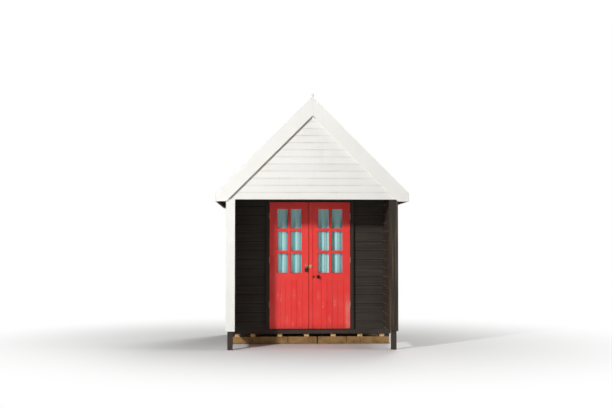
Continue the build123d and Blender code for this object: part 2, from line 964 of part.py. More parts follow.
with BuildPart() as hasp:
    timber(
        (right_leaf_inner + hasp_margin, hasp_right),
        (y_strip - plate_thick, y_strip),
        (hasp_bottom, hasp_top),
    )
    with Locations((hasp_right - hasp_knuckle, y_strip - hasp_knuckle, hasp_middle)):
        Cylinder(hasp_knuckle, hasp_top - hasp_bottom)
write(hasp, "hasp")

# Padlock, hanging by its shackle from the staple
z_shackle_bottom = hasp_middle - staple_opening / 2 + seat_gap
shackle_radius = (shackle_width - shackle_rod) / 2
z_shackle_bend = z_shackle_bottom + shackle_rod / 2 - shackle_radius
z_padlock_top = z_shackle_bend - (shackle_rise - shackle_radius - shackle_rod / 2)
with BuildPart() as padlock:
    with BuildLine() as shackle_line:
        Line(
            (staple_x - shackle_radius, y_shackle, z_padlock_top - shackle_rod),
            (staple_x - shackle_radius, y_shackle, z_shackle_bend),
        )
        ThreePointArc(
            (staple_x - shackle_radius, y_shackle, z_shackle_bend),
            (staple_x, y_shackle, z_shackle_bend + shackle_radius),
            (staple_x + shackle_radius, y_shackle, z_shackle_bend),
        )
        Line(
            (staple_x + shackle_radius, y_shackle, z_shackle_bend),
            (staple_x + shackle_radius, y_shackle, z_padlock_top - shackle_rod),
        )
    with BuildSketch(Plane.XY.offset(z_padlock_top - shackle_rod)):
        with Locations((staple_x - shackle_radius, y_shackle)):
            RegularPolygon(shackle_rod / 2, shackle_sides, rotation=90)
    sweep(path=shackle_line.wires()[0])
    timber(
        (staple_x - padlock_width / 2, staple_x + padlock_width / 2),
        (y_shackle - padlock_depth / 2, y_shackle + padlock_depth / 2),
        (z_padlock_top - padlock_height, z_padlock_top),
    )
write(padlock, "padlock")

# Lock furniture on the right leaf: a rose for the knob and a plate for the key
knob_x = right_leaf_inner + knob_inset
knob_z = (lock_rail_low + lock_rail_high) / 2 - knob_drop
key_plate_x = right_leaf_inner + key_plate_inset
with BuildPart() as lock_plates:
    with BuildSketch(Plane.XZ.offset(-y_leaf)):
        with Locations((knob_x, knob_z)):
            Circle(rose_width / 2)
            Circle(spindle_radius + pin_clearance, mode=Mode.SUBTRACT)
    extrude(amount=rose_thick)
    with BuildSketch(Plane.XZ.offset(-y_leaf)):
        with Locations((key_plate_x, knob_z)):
            SlotOverall(key_plate_height, key_plate_width, rotation=90)
            Circle(key_hole / 2, mode=Mode.SUBTRACT)
        with Locations((key_plate_x, knob_z - key_hole)):
            Rectangle(key_slot, 2 * key_hole, mode=Mode.SUBTRACT)
    extrude(amount=rose_thick)
write(lock_plates, "lock_plates")

y_knob_ball = y_leaf - knob_reach + knob_ball / 2
with BuildPart() as door_knob:
    for y_start, radius in (
        (y_leaf - rose_thick + spindle_depth, spindle_radius),
        (y_leaf - rose_thick - pin_clearance, knob_neck / 2),
    ):
        with BuildSketch(Plane.XZ.offset(-y_start)):
            with Locations((knob_x, knob_z)):
                Circle(radius)
        extrude(amount=y_start - y_knob_ball)
    ball(Plane((knob_x, y_knob_ball, knob_z), z_dir=(0, -1, 0)), knob_ball / 2)
write(door_knob, "door_knob")
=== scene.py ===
"""A timber beach hut, dressed: painted and stained boards, a felt roof and curtained red doors."""
import random
from math import cos, hypot, pi, radians, sin, sqrt, tau

import bpy
from mathutils import Matrix, Vector


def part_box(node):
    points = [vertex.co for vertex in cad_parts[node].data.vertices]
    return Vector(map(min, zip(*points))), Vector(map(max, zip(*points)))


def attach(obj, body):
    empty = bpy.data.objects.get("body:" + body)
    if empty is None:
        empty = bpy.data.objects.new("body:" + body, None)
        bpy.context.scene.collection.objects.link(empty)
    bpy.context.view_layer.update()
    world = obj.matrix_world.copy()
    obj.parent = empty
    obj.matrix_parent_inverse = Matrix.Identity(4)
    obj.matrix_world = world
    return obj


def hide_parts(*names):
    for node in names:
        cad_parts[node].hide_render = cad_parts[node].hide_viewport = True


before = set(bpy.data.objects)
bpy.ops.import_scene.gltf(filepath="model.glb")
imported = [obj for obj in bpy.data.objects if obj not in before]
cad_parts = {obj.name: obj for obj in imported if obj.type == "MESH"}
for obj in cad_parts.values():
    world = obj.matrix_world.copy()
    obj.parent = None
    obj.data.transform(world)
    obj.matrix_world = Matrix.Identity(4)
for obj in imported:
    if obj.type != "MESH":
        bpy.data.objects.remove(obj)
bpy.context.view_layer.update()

# Sizes, in metres
wall_course, first_wall_lap = 0.1326, 0.2166
gable_course = 0.1016
shortest_course = 0.015
board_thick, board_thin = 0.020, 0.012
lining_thick, lining_thin = 0.016, 0.008
lap_cover, lap_play = 0.006, 0.0006
lip_band, lap_shade_band = 0.010, 0.015
board_bow = 0.0009
station_pitch = 0.2
lip_arris, board_arris, arris, trim_arris, worn_arris = 0.0012, 0.0015, 0.002, 0.0025, 0.003
rod_arris, hinge_arris = 0.0007, 0.0004
glazing_rebate = 0.008
front_bead, front_bead_depth = 0.005, 0.009
rear_bead, rear_bead_depth = 0.0075, 0.010
joint_ease = 0.0011
pane_bar = 0.033
pane_columns, pane_rows = 2, 3
door_boards = 5
door_board_gap, door_board_chamfer = 0.0006, 0.0038
ledge_height = 0.12
painted_depth = 0.004
scuff_grid = 0.009
stone_arris, stone_stations, bed_stations = 0.004, (15, 8, 5), 60
stone_lumps, bed_lumps = (0.005, 0.03), (0.006, 0.05)
floor_boards, floor_gap = 15, 0.0015
roof_boards, roof_gap = 16, 0.001
deck_thick = 0.015
felt_strip, felt_lap, felt_thick = 0.72, 0.075, 0.0021
felt_sway, felt_ripple, felt_stations = 0.0025, 0.0005, 40
fold_room, fold_clear = 0.0035, 0.0012
bitumen_edge = 0.010
nail_radius, nail_head, nail_rise, nail_clear = 0.0034, 0.0009, 0.034, 0.03
gable_nail_reach = 0.9
stud_inset = 0.04
clout_radius, clout_inset, clout_pitch = 0.0048, 0.02, 0.075
plate_thick = 0.002
screw_inset, hasp_screw, key_screw, barge_screw = 0.008, 0.0032, 0.0021, 0.0075
hasp_knuckle = 0.008
key_plate_width, key_screw_rise = 0.026, 0.0128
rod_radius, pocket_slack = 0.005, 0.0022
fold_pitch, gather_pitch = 0.098, 0.016
fold_depth, gather_depth = 0.0160, 0.0026
hem, seam_drop, cloth_thick, layer_gap = 0.028, 0.030, 0.0006, 0.0016
floor_radius, fade_start, fade_end = 90, 1.4, 6.0
lamp_aim = (0, -0.6, 1.6)
barge_cover = 0.30
touch = 0.001

# Places read from the frame
gable_low, gable_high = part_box("front_gable_cladding")
side_low, side_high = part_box("left_side_cladding")
rear_low, rear_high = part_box("rear_cladding")
lining_low, lining_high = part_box("left_porch_lining")
beside_low, beside_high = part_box("front_cladding_right")
over_low, over_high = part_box("front_cladding_over")
deck_low, deck_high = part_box("roof_deck_right")
barge_low, barge_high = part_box("bargeboard_front_right")
roof_apex = gable_high.z
x_stud_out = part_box("front_posts")[1].x
barge_under = barge_high.z - barge_cover
front_wall_y = lining_high.y
porch_end = front_wall_y + 0.06
side_face = touch - side_low.x
X, Y, Z = range(3)


# Modelling helpers
def select(*pieces):
    """Select these pieces alone, the last of them active."""
    bpy.ops.object.select_all(action="DESELECT")
    for piece in pieces:
        piece.select_set(True)
    bpy.context.view_layer.objects.active = pieces[-1]


def chosen(piece, kind, test):
    """Open a piece for editing with only the faces, edges or vertices selected that pass a test."""
    select(piece)
    bpy.ops.object.mode_set(mode="EDIT")
    bpy.ops.mesh.select_mode(type=kind)
    bpy.ops.mesh.select_all(action="DESELECT")
    bpy.ops.object.mode_set(mode="OBJECT")
    mesh = piece.data
    if kind == "FACE":
        for face in mesh.polygons:
            face.select = test(face.center, face.normal)
    elif kind == "EDGE":
        for edge in mesh.edges:
            start, end = (mesh.vertices[number].co for number in edge.vertices)
            edge.select = test((start + end) / 2, (end - start).normalized())
    else:
        for vertex in mesh.vertices:
            vertex.select = test(vertex.co)
    bpy.ops.object.mode_set(mode="EDIT")


def whole(piece):
    """Open a piece for editing with all of it selected."""
    select(piece)
    bpy.ops.object.mode_set(mode="EDIT")
    bpy.ops.mesh.select_mode(type="FACE")
    bpy.ops.mesh.select_all(action="SELECT")


def done():
    bpy.ops.object.mode_set(mode="OBJECT")


def extrude(move):
    bpy.ops.mesh.extrude_region_move(TRANSFORM_OT_translate={"value": move})


def placed(piece, turn=(0, 0, 0), place=(0, 0, 0)):
    """Turn and move a piece, and keep its place in its mesh."""
    piece.rotation_euler = turn
    piece.location = place
    select(piece)
    bpy.ops.object.transform_apply(location=True, rotation=True, scale=True)
    return piece


def block(name, low, high):
    """A squared solid between two corners."""
    low, high = Vector(low), Vector(high)
    bpy.ops.object.select_all(action="DESELECT")
    bpy.ops.mesh.primitive_cube_add(size=1, location=(low + high) / 2, scale=high - low)
    piece = bpy.context.object
    piece.name = name
    bpy.ops.object.transform_apply(location=True, rotation=True, scale=True)
    return piece


def twin(piece, move=(0, 0, 0)):
    """A copy of a piece with its own mesh, moved."""
    made = bpy.data.objects.new(piece.name, piece.data.copy())
    bpy.context.collection.objects.link(made)
    made.data.transform(Matrix.Translation(move))
    return made


def joined(name, pieces):
    """One piece out of several."""
    select(*pieces)
    if len(pieces) > 1:
        bpy.ops.object.join()
    piece = bpy.context.object
    piece.name = name
    piece.data.name = name
    return piece


def discard(piece):
    bpy.data.objects.remove(piece)


def toned_copies(name, board, moves, draw):
    """Copies of a board at many places, each with its own tone, in one piece."""
    made = [twin(board, move) for move in moves]
    for copy in made:
        mark(copy, "tone", draw.random())
    discard(board)
    return joined(name, made)


def apply_modifier(piece, kind, **values):
    modifier = piece.modifiers.new(kind, kind)
    for name, value in values.items():
        setattr(modifier, name, value)
    select(piece)
    bpy.ops.object.modifier_apply(modifier=modifier.name)


def cut_away(piece, tool):
    apply_modifier(piece, "BOOLEAN", object=tool, operation="DIFFERENCE", solver="EXACT")


def ease(piece, width, segments=2, angle=35):
    """Round the arrises of a piece."""
    sharp = {"limit_method": "ANGLE", "angle_limit": radians(angle)}
    apply_modifier(piece, "BEVEL", width=width, segments=segments, **sharp)


def smooth(piece, angle=40):
    select(piece)
    bpy.ops.object.shade_smooth_by_angle(angle=radians(angle))


def face_outward(piece):
    whole(piece)
    bpy.ops.mesh.normals_make_consistent(inside=False)
    done()


def split(piece, axis, *places):
    """Cut a piece's faces at places along an axis, and keep both sides."""
    direction = Vector([1.0 if number == axis else 0.0 for number in range(3)])
    whole(piece)
    for place in places:
        bpy.ops.mesh.select_all(action="SELECT")
        bpy.ops.mesh.bisect(plane_co=direction * place, plane_no=direction)
    done()


def divide(piece, axis, cuts):
    """Divide the edges that run along an axis."""
    chosen(piece, "EDGE", lambda middle, way: abs(way[axis]) > 0.99)
    bpy.ops.mesh.subdivide(number_cuts=cuts)
    done()


def cut_off(piece, place, outward):
    """Saw off what lies beyond a plane, and close the cut."""
    whole(piece)
    bpy.ops.mesh.bisect(plane_co=place, plane_no=outward, use_fill=True, clear_outer=True)
    done()


def from_node(node, name):
    """A merged copy of a CAD node's mesh, to be shaped further."""
    piece = bpy.data.objects.new(name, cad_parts[node].data.copy())
    bpy.context.collection.objects.link(piece)
    select(piece)
    bpy.ops.mesh.customdata_custom_splitnormals_clear()
    bpy.ops.object.shade_flat()
    whole(piece)
    bpy.ops.mesh.remove_doubles(threshold=0.00002)
    bpy.ops.mesh.dissolve_limited(angle_limit=radians(0.5))
    done()
    return piece


def mark(piece, name, value):
    """Keep a number at each vertex, for the finish to read: one for all, or one by place."""
    layer = piece.data.attributes.new(name, "FLOAT", "POINT")
    for number, vertex in enumerate(piece.data.vertices):
        layer.data[number].value = value(vertex.co) if callable(value) else value


def dress(piece, body, finishes, instead_of=()):
    """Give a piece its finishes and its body."""
    piece.data.materials.clear()
    for finish in finishes:
        piece.data.materials.append(finish)
    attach(piece, body)
    if instead_of:
        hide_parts(*instead_of)
    return piece


def second_finish(piece, test):
    """Give the faces that pass a test the second of the piece's finishes."""
    for face in piece.data.polygons:
        if test(face.center, face.normal):
            face.material_index = 1


def ringed(name, place, rings, along, sides=32):
    """A turned form: rings of (distance along the axis, radius), from a filled start to a filled end."""
    axis = Vector(along).normalized()
    bpy.ops.object.select_all(action="DESELECT")
    bpy.ops.mesh.primitive_circle_add(vertices=sides, radius=rings[0][1], fill_type="NGON")
    piece = bpy.context.object
    piece.name = name
    bpy.ops.object.mode_set(mode="EDIT")
    bpy.ops.mesh.select_all(action="SELECT")
    distance, radius = rings[0]
    for next_distance, next_radius in rings[1:]:
        extrude((0, 0, next_distance - distance))
        share = next_radius / radius
        centre = (0, 0, next_distance - rings[0][0])
        bpy.ops.transform.resize(value=(share, share, 1), center_override=centre)
        distance, radius = next_distance, next_radius
    bpy.ops.mesh.select_all(action="SELECT")
    bpy.ops.mesh.normals_make_consistent(inside=False)
    done()
    start = Vector(place) + axis * rings[0][0]
    return placed(piece, axis.to_track_quat("Z", "Y").to_euler(), start)


def round_rings(radius, centre, start, end, steps):
    """Rings of a ball between two angles from its axis, in degrees."""
    angles = [radians(start + (end - start) * step / steps) for step in range(steps + 1)]
    return [(centre - radius * cos(angle), radius * sin(angle)) for angle in angles]


def heads(name, places, outward, radius, rise=0.0014):
    """Nail heads, each a low dome, at many places."""
    rings = [(-rise, radius * 0.9), (0.0, radius), (rise * 0.6, radius * 0.93), (rise, radius * 0.45)]
    head = ringed(name, (0, 0, 0), rings, outward, sides=10)
    made = [twin(head, place) for place in places]
    discard(head)
    return joined(name, made)


def slotted_screws(name, places, radius, seed):
    """Screws driven along Y, each head with its slot at its own angle."""
    rings = [(-0.0008, radius * 0.95), (0.0, radius), (0.0005, radius * 0.85), (0.0009, radius * 0.45)]
    head = ringed(name, (0, 0, 0), rings, (0, -1, 0), sides=20)
    slot = block("slot", (-radius * 1.2, -0.002, -radius * 0.14), (radius * 1.2, -0.0002, radius * 0.14))
    cut_away(head, slot)
    discard(slot)
    draw = random.Random(seed)
    made = []
    for place in places:
        copy = twin(head)
        copy.data.transform(Matrix.Translation(place) @ Matrix.Rotation(draw.uniform(0, pi), 4, "Y"))
        made.append(copy)
    discard(head)
    return joined(name, made)


# Finishes
def screen_colour(red, green, blue):
    """A colour from its screen values, 0 to 255."""
    linear = []
    for value in (red, green, blue):
        share = value / 255
        linear.append(((share + 0.055) / 1.055) ** 2.4 if share > 0.04 else share / 12.92)
    return (*linear, 1.0)


def feed(tree, socket, value):
    if isinstance(value, bpy.types.NodeSocket):
        tree.links.new(value, socket)
    else:
        socket.default_value = value


def add_node(tree, kind, inputs=None, **settings):
    """A node, with its settings and with its inputs set or linked."""
    node = tree.nodes.new(kind)
    for name, value in settings.items():
        setattr(node, name, value)
    for socket, value in (inputs or {}).items():
        feed(tree, node.inputs[socket], value)
    return node


grain_turns = {
    "level": (0, 0, 0),
    "deep": (0, 0, pi / 2),
    "upright": (0, pi / 2, 0),
    "rising": (0, -pi / 4, 0),
    "falling": (0, pi / 4, 0),
}


class Finish:
    """A material in the making, patterned on the piece's own coordinates."""

    def __init__(self, name, metallic=0.0, specular=0.5):
        self.material = bpy.data.materials.new(name)
        self.material.use_nodes = True
        self.tree = self.material.node_tree
        self.shader = self.tree.nodes["Principled BSDF"]
        self.shader.inputs["Metallic"].default_value = metallic
        self.shader.inputs["Specular IOR Level"].default_value = specular
        self.place = self.add("TexCoord").outputs["Object"]

    def add(self, kind, inputs=None, **settings):
        return add_node(self.tree, "ShaderNode" + kind, inputs, **settings)

    def number(self, name):
        """A number kept at the piece's vertices."""
        return self.add("Attribute", attribute_name=name).outputs["Fac"]

    def part(self, axis):
        """The place's X, Y or Z."""
        return self.add("SeparateXYZ", {0: self.place}).outputs[axis]

    def sized(self, size, turn=(0, 0, 0), shift=None):
        """The place, measured in patches of a size, turned along the grain and shifted board by board."""
        place = self.place
        if shift is not None:
            shifts = self.add("CombineXYZ", {"X": shift, "Y": shift, "Z": shift}).outputs[0]
            place = self.add("VectorMath", {0: place, 1: shifts}, operation="ADD").outputs[0]
        inputs = {"Vector": place, "Rotation": turn, "Scale": size}
        return self.add("Mapping", inputs, vector_type="TEXTURE").outputs[0]

    def noise(self, vector, detail=3.0, rough=0.55):
        inputs = {"Vector": vector, "Scale": 1.0, "Detail": detail, "Roughness": rough}
        return self.add("TexNoise", inputs).outputs["Fac"]

    def grain(self, direction, length, width, shift=None, detail=4.0):
        """Streaks along the grain."""
        return self.noise(self.sized((length, width, width), grain_turns[direction], shift), detail, 0.62)

    def patches(self, size, detail=3.0):
        return self.noise(self.sized((size, size, size)), detail)

    def scattered(self, vector):
        """Distance to the nearest of many scattered points."""
        return self.add("TexVoronoi", {"Vector": vector, "Scale": 1.0}).outputs["Distance"]

    def specks(self, size):
        return self.scattered(self.sized((size, size, size)))

    def rings(self, vector, around, scale, wander, detail, detail_scale):
        """Growth rings around an axis."""
        inputs = {"Vector": vector, "Scale": scale, "Distortion": wander, "Detail": detail}
        inputs["Detail Scale"] = detail_scale
        return self.add("TexWave", inputs, wave_type="RINGS", rings_direction=around).outputs["Fac"]

    def span(self, value, low, high, to_low=0.0, to_high=1.0):
        """A value stretched from one range to another, held at the ends."""
        inputs = {0: value, 1: low, 2: high, 3: to_low, 4: to_high}
        return self.add("MapRange", inputs, clamp=True).outputs[0]

    def sum(self, a, b, operation="ADD", held=False):
        return self.add("Math", {0: a, 1: b}, operation=operation, use_clamp=held).outputs[0]

    def times(self, a, b):
        return self.sum(a, b, "MULTIPLY")

    def mix(self, share, a, b):
        return self.add("Mix", {0: share, 6: a, 7: b}, data_type="RGBA", blend_type="MIX").outputs[2]

    def layered(self, ground, *layers):
        """Colour over colour. A layer is (share, colour), or (value, low, high, most, colour)."""
        made = screen_colour(*ground) if isinstance(ground, tuple) else ground
        for value, *limits, colour in layers:
            share = self.span(value, limits[0], limits[1], 0, limits[2]) if limits else value
            made = self.mix(share, made, screen_colour(*colour))
        return made

    def complete(self, colour, roughness, height, depth):
        """Lay the colour, the roughness and the bump on, and hand the material over."""
        feed(self.tree, self.shader.inputs["Base Color"], colour)
        feed(self.tree, self.shader.inputs["Roughness"], roughness)
        bump = self.add("Bump", {"Height": height, "Distance": depth, "Strength": 1.0}).outputs[0]
        feed(self.tree, self.shader.inputs["Normal"], bump)
        return self.material


def painted_barge_shadow(finish):
    """Painted shadow of the left bargeboard on the gable boards, along its lower edge."""
    left = finish.span(finish.part("X"), -0.004, 0.004, 1, 0)
    above = finish.sum(finish.part("Z"), finish.part("X"), "SUBTRACT")
    return finish.times(left, finish.span(above, barge_under - 0.024, barge_under - 0.006, 0, 0.75))


def white_paint(direction):
    """Weathered white gloss: brushed along the grain, with faint rain streaks, grime and painted shade under
    each lap.
    """
    finish = Finish(f"white_paint_{direction}", specular=0.4)
    board = finish.number("tone")
    brushed = finish.grain(direction, 0.5, 0.006, board)
    clouded = finish.patches(0.35)
    rain = finish.noise(finish.sized((0.045, 0.045, 0.6)), 4.0, 0.6)
    grime = finish.times(finish.number("lip"), finish.span(clouded, 0.4, 0.7, 0.0, 0.15))
    # Painted shade, with a little grime, in the band under each lap.
    painted_shade = finish.times(finish.number("shade_under_lap"), finish.span(clouded, 0.3, 0.7, 0.06, 0.26))
    # Level boards also get the painted shadow of the left bargeboard.
    if direction == "level":
        painted_shade = finish.sum(painted_shade, painted_barge_shadow(finish), "MAXIMUM")
    colour = finish.layered(
        (242, 241, 237),
        (board, 0, 1, 1, (237, 236, 232)),
        (clouded, 0.35, 0.75, 0.4, (236, 232, 222)),
        (rain, 0.6, 0.8, 0.2, (208, 200, 184)),
        (brushed, 0.62, 0.8, 0.25, (222, 216, 204)),
        (grime, (190, 182, 166)),
        (painted_shade, (150, 146, 136)),
    )
    uneven = finish.sum(brushed, finish.patches(0.02))
    return finish.complete(colour, finish.span(brushed, 0.3, 0.7, 0.38, 0.56), uneven, 0.0006)


def black_stain(direction):
    """Black stained boards, sawn faced, with a painted highlight on the lips of the laps and painted shade
    below them.
    """
    finish = Finish(f"black_stain_{direction}", specular=0.3)
    board = finish.number("tone")
    fine = finish.grain(direction, 0.35, 0.0035, board)
    broad = finish.grain(direction, 1.1, 0.03, board, 3.0)
    # A patchy painted highlight along the lip of each board.
    edge = finish.times(finish.number("lip"), finish.span(broad, 0.35, 0.7, 0.0, 0.6))
    # Painted shade: near black in the band under each lap.
    painted_shade = finish.times(finish.number("shade_under_lap"), finish.span(broad, 0.2, 0.7, 1.0, 0.75))
    base = finish.layered((67, 59, 51), (board, 0, 1, 1, (80, 71, 61)))
    colour = finish.layered(
        finish.mix(finish.span(fine, 0.35, 0.7), screen_colour(46, 41, 36), base),
        (broad, 0.52, 0.8, 0.55, (90, 81, 71)),
        (finish.patches(0.5), 0.5, 0.75, 0.3, (74, 68, 62)),
        (edge, (98, 89, 79)),
        (painted_shade, (11, 10, 9)),
    )
    return finish.complete(colour, finish.span(fine, 0.3, 0.7, 0.55, 0.82), finish.sum(fine, broad), 0.0011)


def weathered_black(direction):
    """Black stain worn through to brown timber along the grain, with painted shade under the laps and a
    painted highlight on the lips.
    """
    finish = Finish(f"weathered_black_{direction}", specular=0.3)
    board = finish.number("tone")
    fine = finish.grain(direction, 0.3, 0.004, board)
    broad = finish.grain(direction, 0.9, 0.022, board, 5.0)
    most_bare = 0.5 if direction == "deep" else 0.9
    # Painted highlight on the lips of the lining boards, strongest near the front wall.
    lip_highlight_reach = finish.span(finish.part("Y"), front_wall_y - 0.5, front_wall_y - 0.05, 0.25, 0.9)
    colour = finish.layered(
        (36, 31, 26),
        (fine, 0.3, 0.7, 1, (66, 57, 47)),
        (broad, 0.5, 0.7, most_bare, (108, 92, 72)),
        # Painted shade under each lap.
        (finish.times(finish.number("shade_under_lap"), 0.7), (20, 17, 14)),
        (finish.times(finish.number("lip"), lip_highlight_reach), (146, 132, 104)),
    )
    return finish.complete(colour, finish.span(fine, 0.3, 0.7, 0.6, 0.85), finish.sum(fine, broad), 0.0014)


def sawn_timber(direction):
    """Sawn softwood: growth rings and fibres along the grain, a few knots, greyed in patches."""
    finish = Finish(f"sawn_timber_{direction}", specular=0.3)
    board = finish.number("tone")
    turn = grain_turns[direction]
    rings = finish.rings(finish.sized((2.2, 0.09, 0.09), turn, board), "X", 4.2, 9.0, 3.0, 1.3)
    fibres = finish.grain(direction, 0.3, 0.0025, board)
    knots = finish.scattered(finish.sized((0.42, 0.2, 0.2), turn, board))
    colour = finish.layered(
        (222, 180, 122),
        (rings, 0.45, 0.95, 0.6, (184, 132, 78)),
        (fibres, 0.45, 0.8, 0.35, (166, 118, 70)),
        (finish.span(knots, 0.055, 0.11, 0.85, 0), (92, 56, 30)),
        (finish.patches(0.4), 0.45, 0.8, 0.4, (170, 146, 112)),
    )
    roughness = finish.span(fibres, 0.3, 0.7, 0.6, 0.8)
    return finish.complete(colour, roughness, finish.sum(fibres, rings), 0.0004)


def end_grain():
    """The sawn ends of joists: growth rings about the heart of the tree, and the marks of the saw."""
    finish = Finish("end_grain", specular=0.25)
    heart = finish.add("CombineXYZ", {"X": finish.number("across"), "Z": finish.number("rise")}).outputs[0]
    rings = finish.rings(heart, "Y", 62.0, 1.6, 2.0, 0.25)
    saw = finish.noise(finish.sized((0.03, 0.03, 0.0016)), 2.0)
    colour = finish.layered(
        (250, 210, 150),
        (rings, 0.4, 0.95, 0.75, (214, 158, 96)),
        (saw, 0.5, 0.75, 0.3, (190, 138, 84)),
        (finish.patches(0.03, 4.0), 0.52, 0.75, 0.55, (150, 106, 62)),
    )
    return finish.complete(colour, finish.span(saw, 0.3, 0.7, 0.7, 0.9), finish.sum(rings, saw), 0.0005)


def grey_timber(direction):
    """Old timber, greyed and dark with damp."""
    finish = Finish(f"grey_timber_{direction}", specular=0.3)
    fine = finish.grain(direction, 0.28, 0.0035)
    broad = finish.grain(direction, 0.8, 0.02, None, 5.0)
    colour = finish.layered(
        (52, 44, 40),
        (fine, 0.3, 0.7, 1, (76, 67, 58)),
        (broad, 0.55, 0.75, 0.6, (104, 93, 80)),
        (finish.patches(0.3), 0.5, 0.8, 0.6, (38, 33, 29)),
    )
    return finish.complete(colour, finish.span(fine, 0.3, 0.7, 0.65, 0.88), finish.sum(fine, broad), 0.0013)


def red_paint(direction):
    """Red door paint, sun faded, scuffed pale in its lower half, splashed at its foot."""
    finish = Finish(f"red_paint_{direction}", specular=0.45)
    board = finish.number("tone")
    brushed = finish.grain(direction, 0.4, 0.005, board)
    clouded = finish.patches(0.28)
    blotches = finish.noise(finish.sized((0.014, 0.014, 0.034)), 6.0, 0.75)
    scratches = finish.noise(finish.sized((0.0022, 0.0022, 0.05)), 2.0)
    worn = finish.sum(finish.span(blotches, 0.47, 0.6, 0, 0.55), finish.span(scratches, 0.58, 0.7, 0, 0.4))
    scuff = finish.sum(finish.number("scuff"), worn, "MULTIPLY", held=True)
    across, height = finish.part("X"), finish.part("Z")
    right_stile = finish.times(finish.span(across, 0.528, 0.55), finish.span(height, 0.8, 0.55))
    foot = finish.span(height, 0.234, 0.33, 0.5, 0)
    colour = finish.layered(
        (255, 60, 56),
        (board, 0, 1, 1, (252, 50, 48)),
        (clouded, 0.35, 0.75, 0.6, (255, 82, 76)),
        (brushed, 0.58, 0.8, 0.45, (222, 40, 40)),
        (finish.number("groove"), (126, 14, 14)),
        (scuff, (254, 146, 134)),
        (finish.times(right_stile, finish.span(clouded, 0.3, 0.6, 0.15, 0.75)), (255, 138, 124)),
        (finish.times(foot, finish.span(blotches, 0.35, 0.6)), (150, 44, 38)),
    )
    uneven = finish.sum(brushed, finish.times(scuff, -0.6))
    return finish.complete(colour, finish.span(brushed, 0.3, 0.7, 0.34, 0.52), uneven, 0.0006)


def roof_felt():
    """Green-grey mineral felt: dark between its granules, bleached and mossy in patches."""
    finish = Finish("roof_felt", specular=0.25)
    granules = finish.specks(0.0022)
    colour = finish.layered(
        (92, 99, 92),
        (granules, 0.2, 0.7, 1, (54, 60, 56)),
        (finish.number("tone"), 0, 1, 0.45, (98, 100, 92)),
        (finish.patches(0.3, 5.0), 0.45, 0.75, 0.25, (112, 114, 104)),
        (finish.patches(0.035, 4.0), 0.6, 0.75, 0.4, (74, 76, 52)),
        (finish.number("lip"), (34, 35, 33)),
    )
    uneven = finish.sum(granules, finish.patches(0.004))
    return finish.complete(colour, finish.span(granules, 0.1, 0.7, 0.95, 0.75), uneven, 0.0012)


def concrete():
    """Sandy concrete blocks, stained by the soil, pitted between the grains."""
    finish = Finish("concrete", specular=0.25)
    sand = finish.patches(0.004, 5.0)
    stain = finish.patches(0.12, 4.0)
    pits = finish.specks(0.009)
    colour = finish.layered(
        (148, 113, 68),
        (sand, 0.3, 0.7, 1, (184, 148, 100)),
        (stain, 0.42, 0.7, 0.8, (122, 86, 48)),
        (finish.span(pits, 0.08, 0.22, 0.7, 0), (72, 56, 40)),
    )
    uneven = finish.sum(finish.sum(sand, stain), finish.span(pits, 0.05, 0.3))
    return finish.complete(colour, finish.span(sand, 0.3, 0.7, 0.8, 0.95), uneven, 0.002)


def mortar():
    """Grey-brown mortar, coarse sanded."""
    finish = Finish("mortar", specular=0.2)
    sand = finish.patches(0.003, 4.0)
    stain = finish.patches(0.09, 3.0)
    colour = finish.layered(
        (132, 118, 96),
        (sand, 0.3, 0.7, 1, (168, 155, 132)),
        (stain, 0.45, 0.7, 0.7, (106, 90, 66)),
    )
    return finish.complete(colour, finish.span(stain, 0.3, 0.7, 0.85, 0.97), finish.sum(sand, stain), 0.002)


def window_glass():
    """Thin clear glass with a film of salt."""
    finish = Finish("window_glass")
    finish.shader.inputs["Alpha"].default_value = 0.045
    film = finish.patches(0.12, 4.0)
    colour = finish.layered((196, 222, 222), (film, 0.4, 0.7, 1, (226, 238, 236)))
    roughness = finish.span(film, 0.45, 0.8, 0.03, 0.16)
    return finish.complete(colour, roughness, finish.patches(0.2, 2.0), 0.0003)


def curtain_cloth():
    """Plain woven turquoise cotton, with a painted highlight on the ridges of its folds, painted shade in
    the hollows, and bleached bands.
    """
    finish = Finish("curtain_cloth", specular=0.2)
    finish.shader.inputs["Sheen Weight"].default_value = 0.25
    finish.shader.inputs["Sheen Roughness"].default_value = 0.5
    cloth_place = finish.add("UVMap", uv_map="cloth").outputs[0]

    def drawn_out(scale):
        return finish.add("Mapping", {"Vector": cloth_place, "Scale": scale}).outputs[0]

    def threads(scale, direction):
        inputs = {"Vector": drawn_out(scale), "Scale": 1.0, "Distortion": 0.6, "Detail": 1.0}
        return finish.add("TexWave", inputs, bands_direction=direction).outputs["Fac"]

    weave = finish.times(threads((300, 12, 1), "X"), threads((12, 300, 1), "Y"))
    slub = finish.noise(drawn_out((9, 260, 1)), 3.0)
    bleached = finish.span(finish.noise(drawn_out((7, 0.9, 1)), 2.0), 0.35, 0.65, 0.0, 0.35)
    # Painted highlight on the forward ridges of the folds, over bleached bands; the darker ground colour
    # stands for shade in the hollows.
    ridge = finish.sum(finish.span(finish.number("ridge"), 0.12, 0.5, 0, 0.9), bleached, held=True)
    colour = finish.layered(
        (44, 168, 178),
        (ridge, (196, 255, 255)),
        (finish.span(weave, 0.0, 0.6, 0.12, 0), (70, 156, 162)),
        (slub, 0.6, 0.85, 0.15, (186, 244, 243)),
    )
    return finish.complete(colour, finish.span(weave, 0, 1, 0.88, 0.74), finish.sum(weave, slub), 0.0004)


def zinc(name, bright, dark):
    """Zinc plated steel, mottled and dulled by salt air."""
    finish = Finish(name, metallic=0.85)
    dull = finish.patches(0.02, 4.0)
    colour = finish.layered(
        bright,
        (finish.specks(0.006), 0.1, 0.7, 1, dark),
        (dull, 0.52, 0.7, 0.7, (128, 106, 78)),
    )
    return finish.complete(colour, finish.span(dull, 0.3, 0.7, 0.34, 0.62), dull, 0.0002)


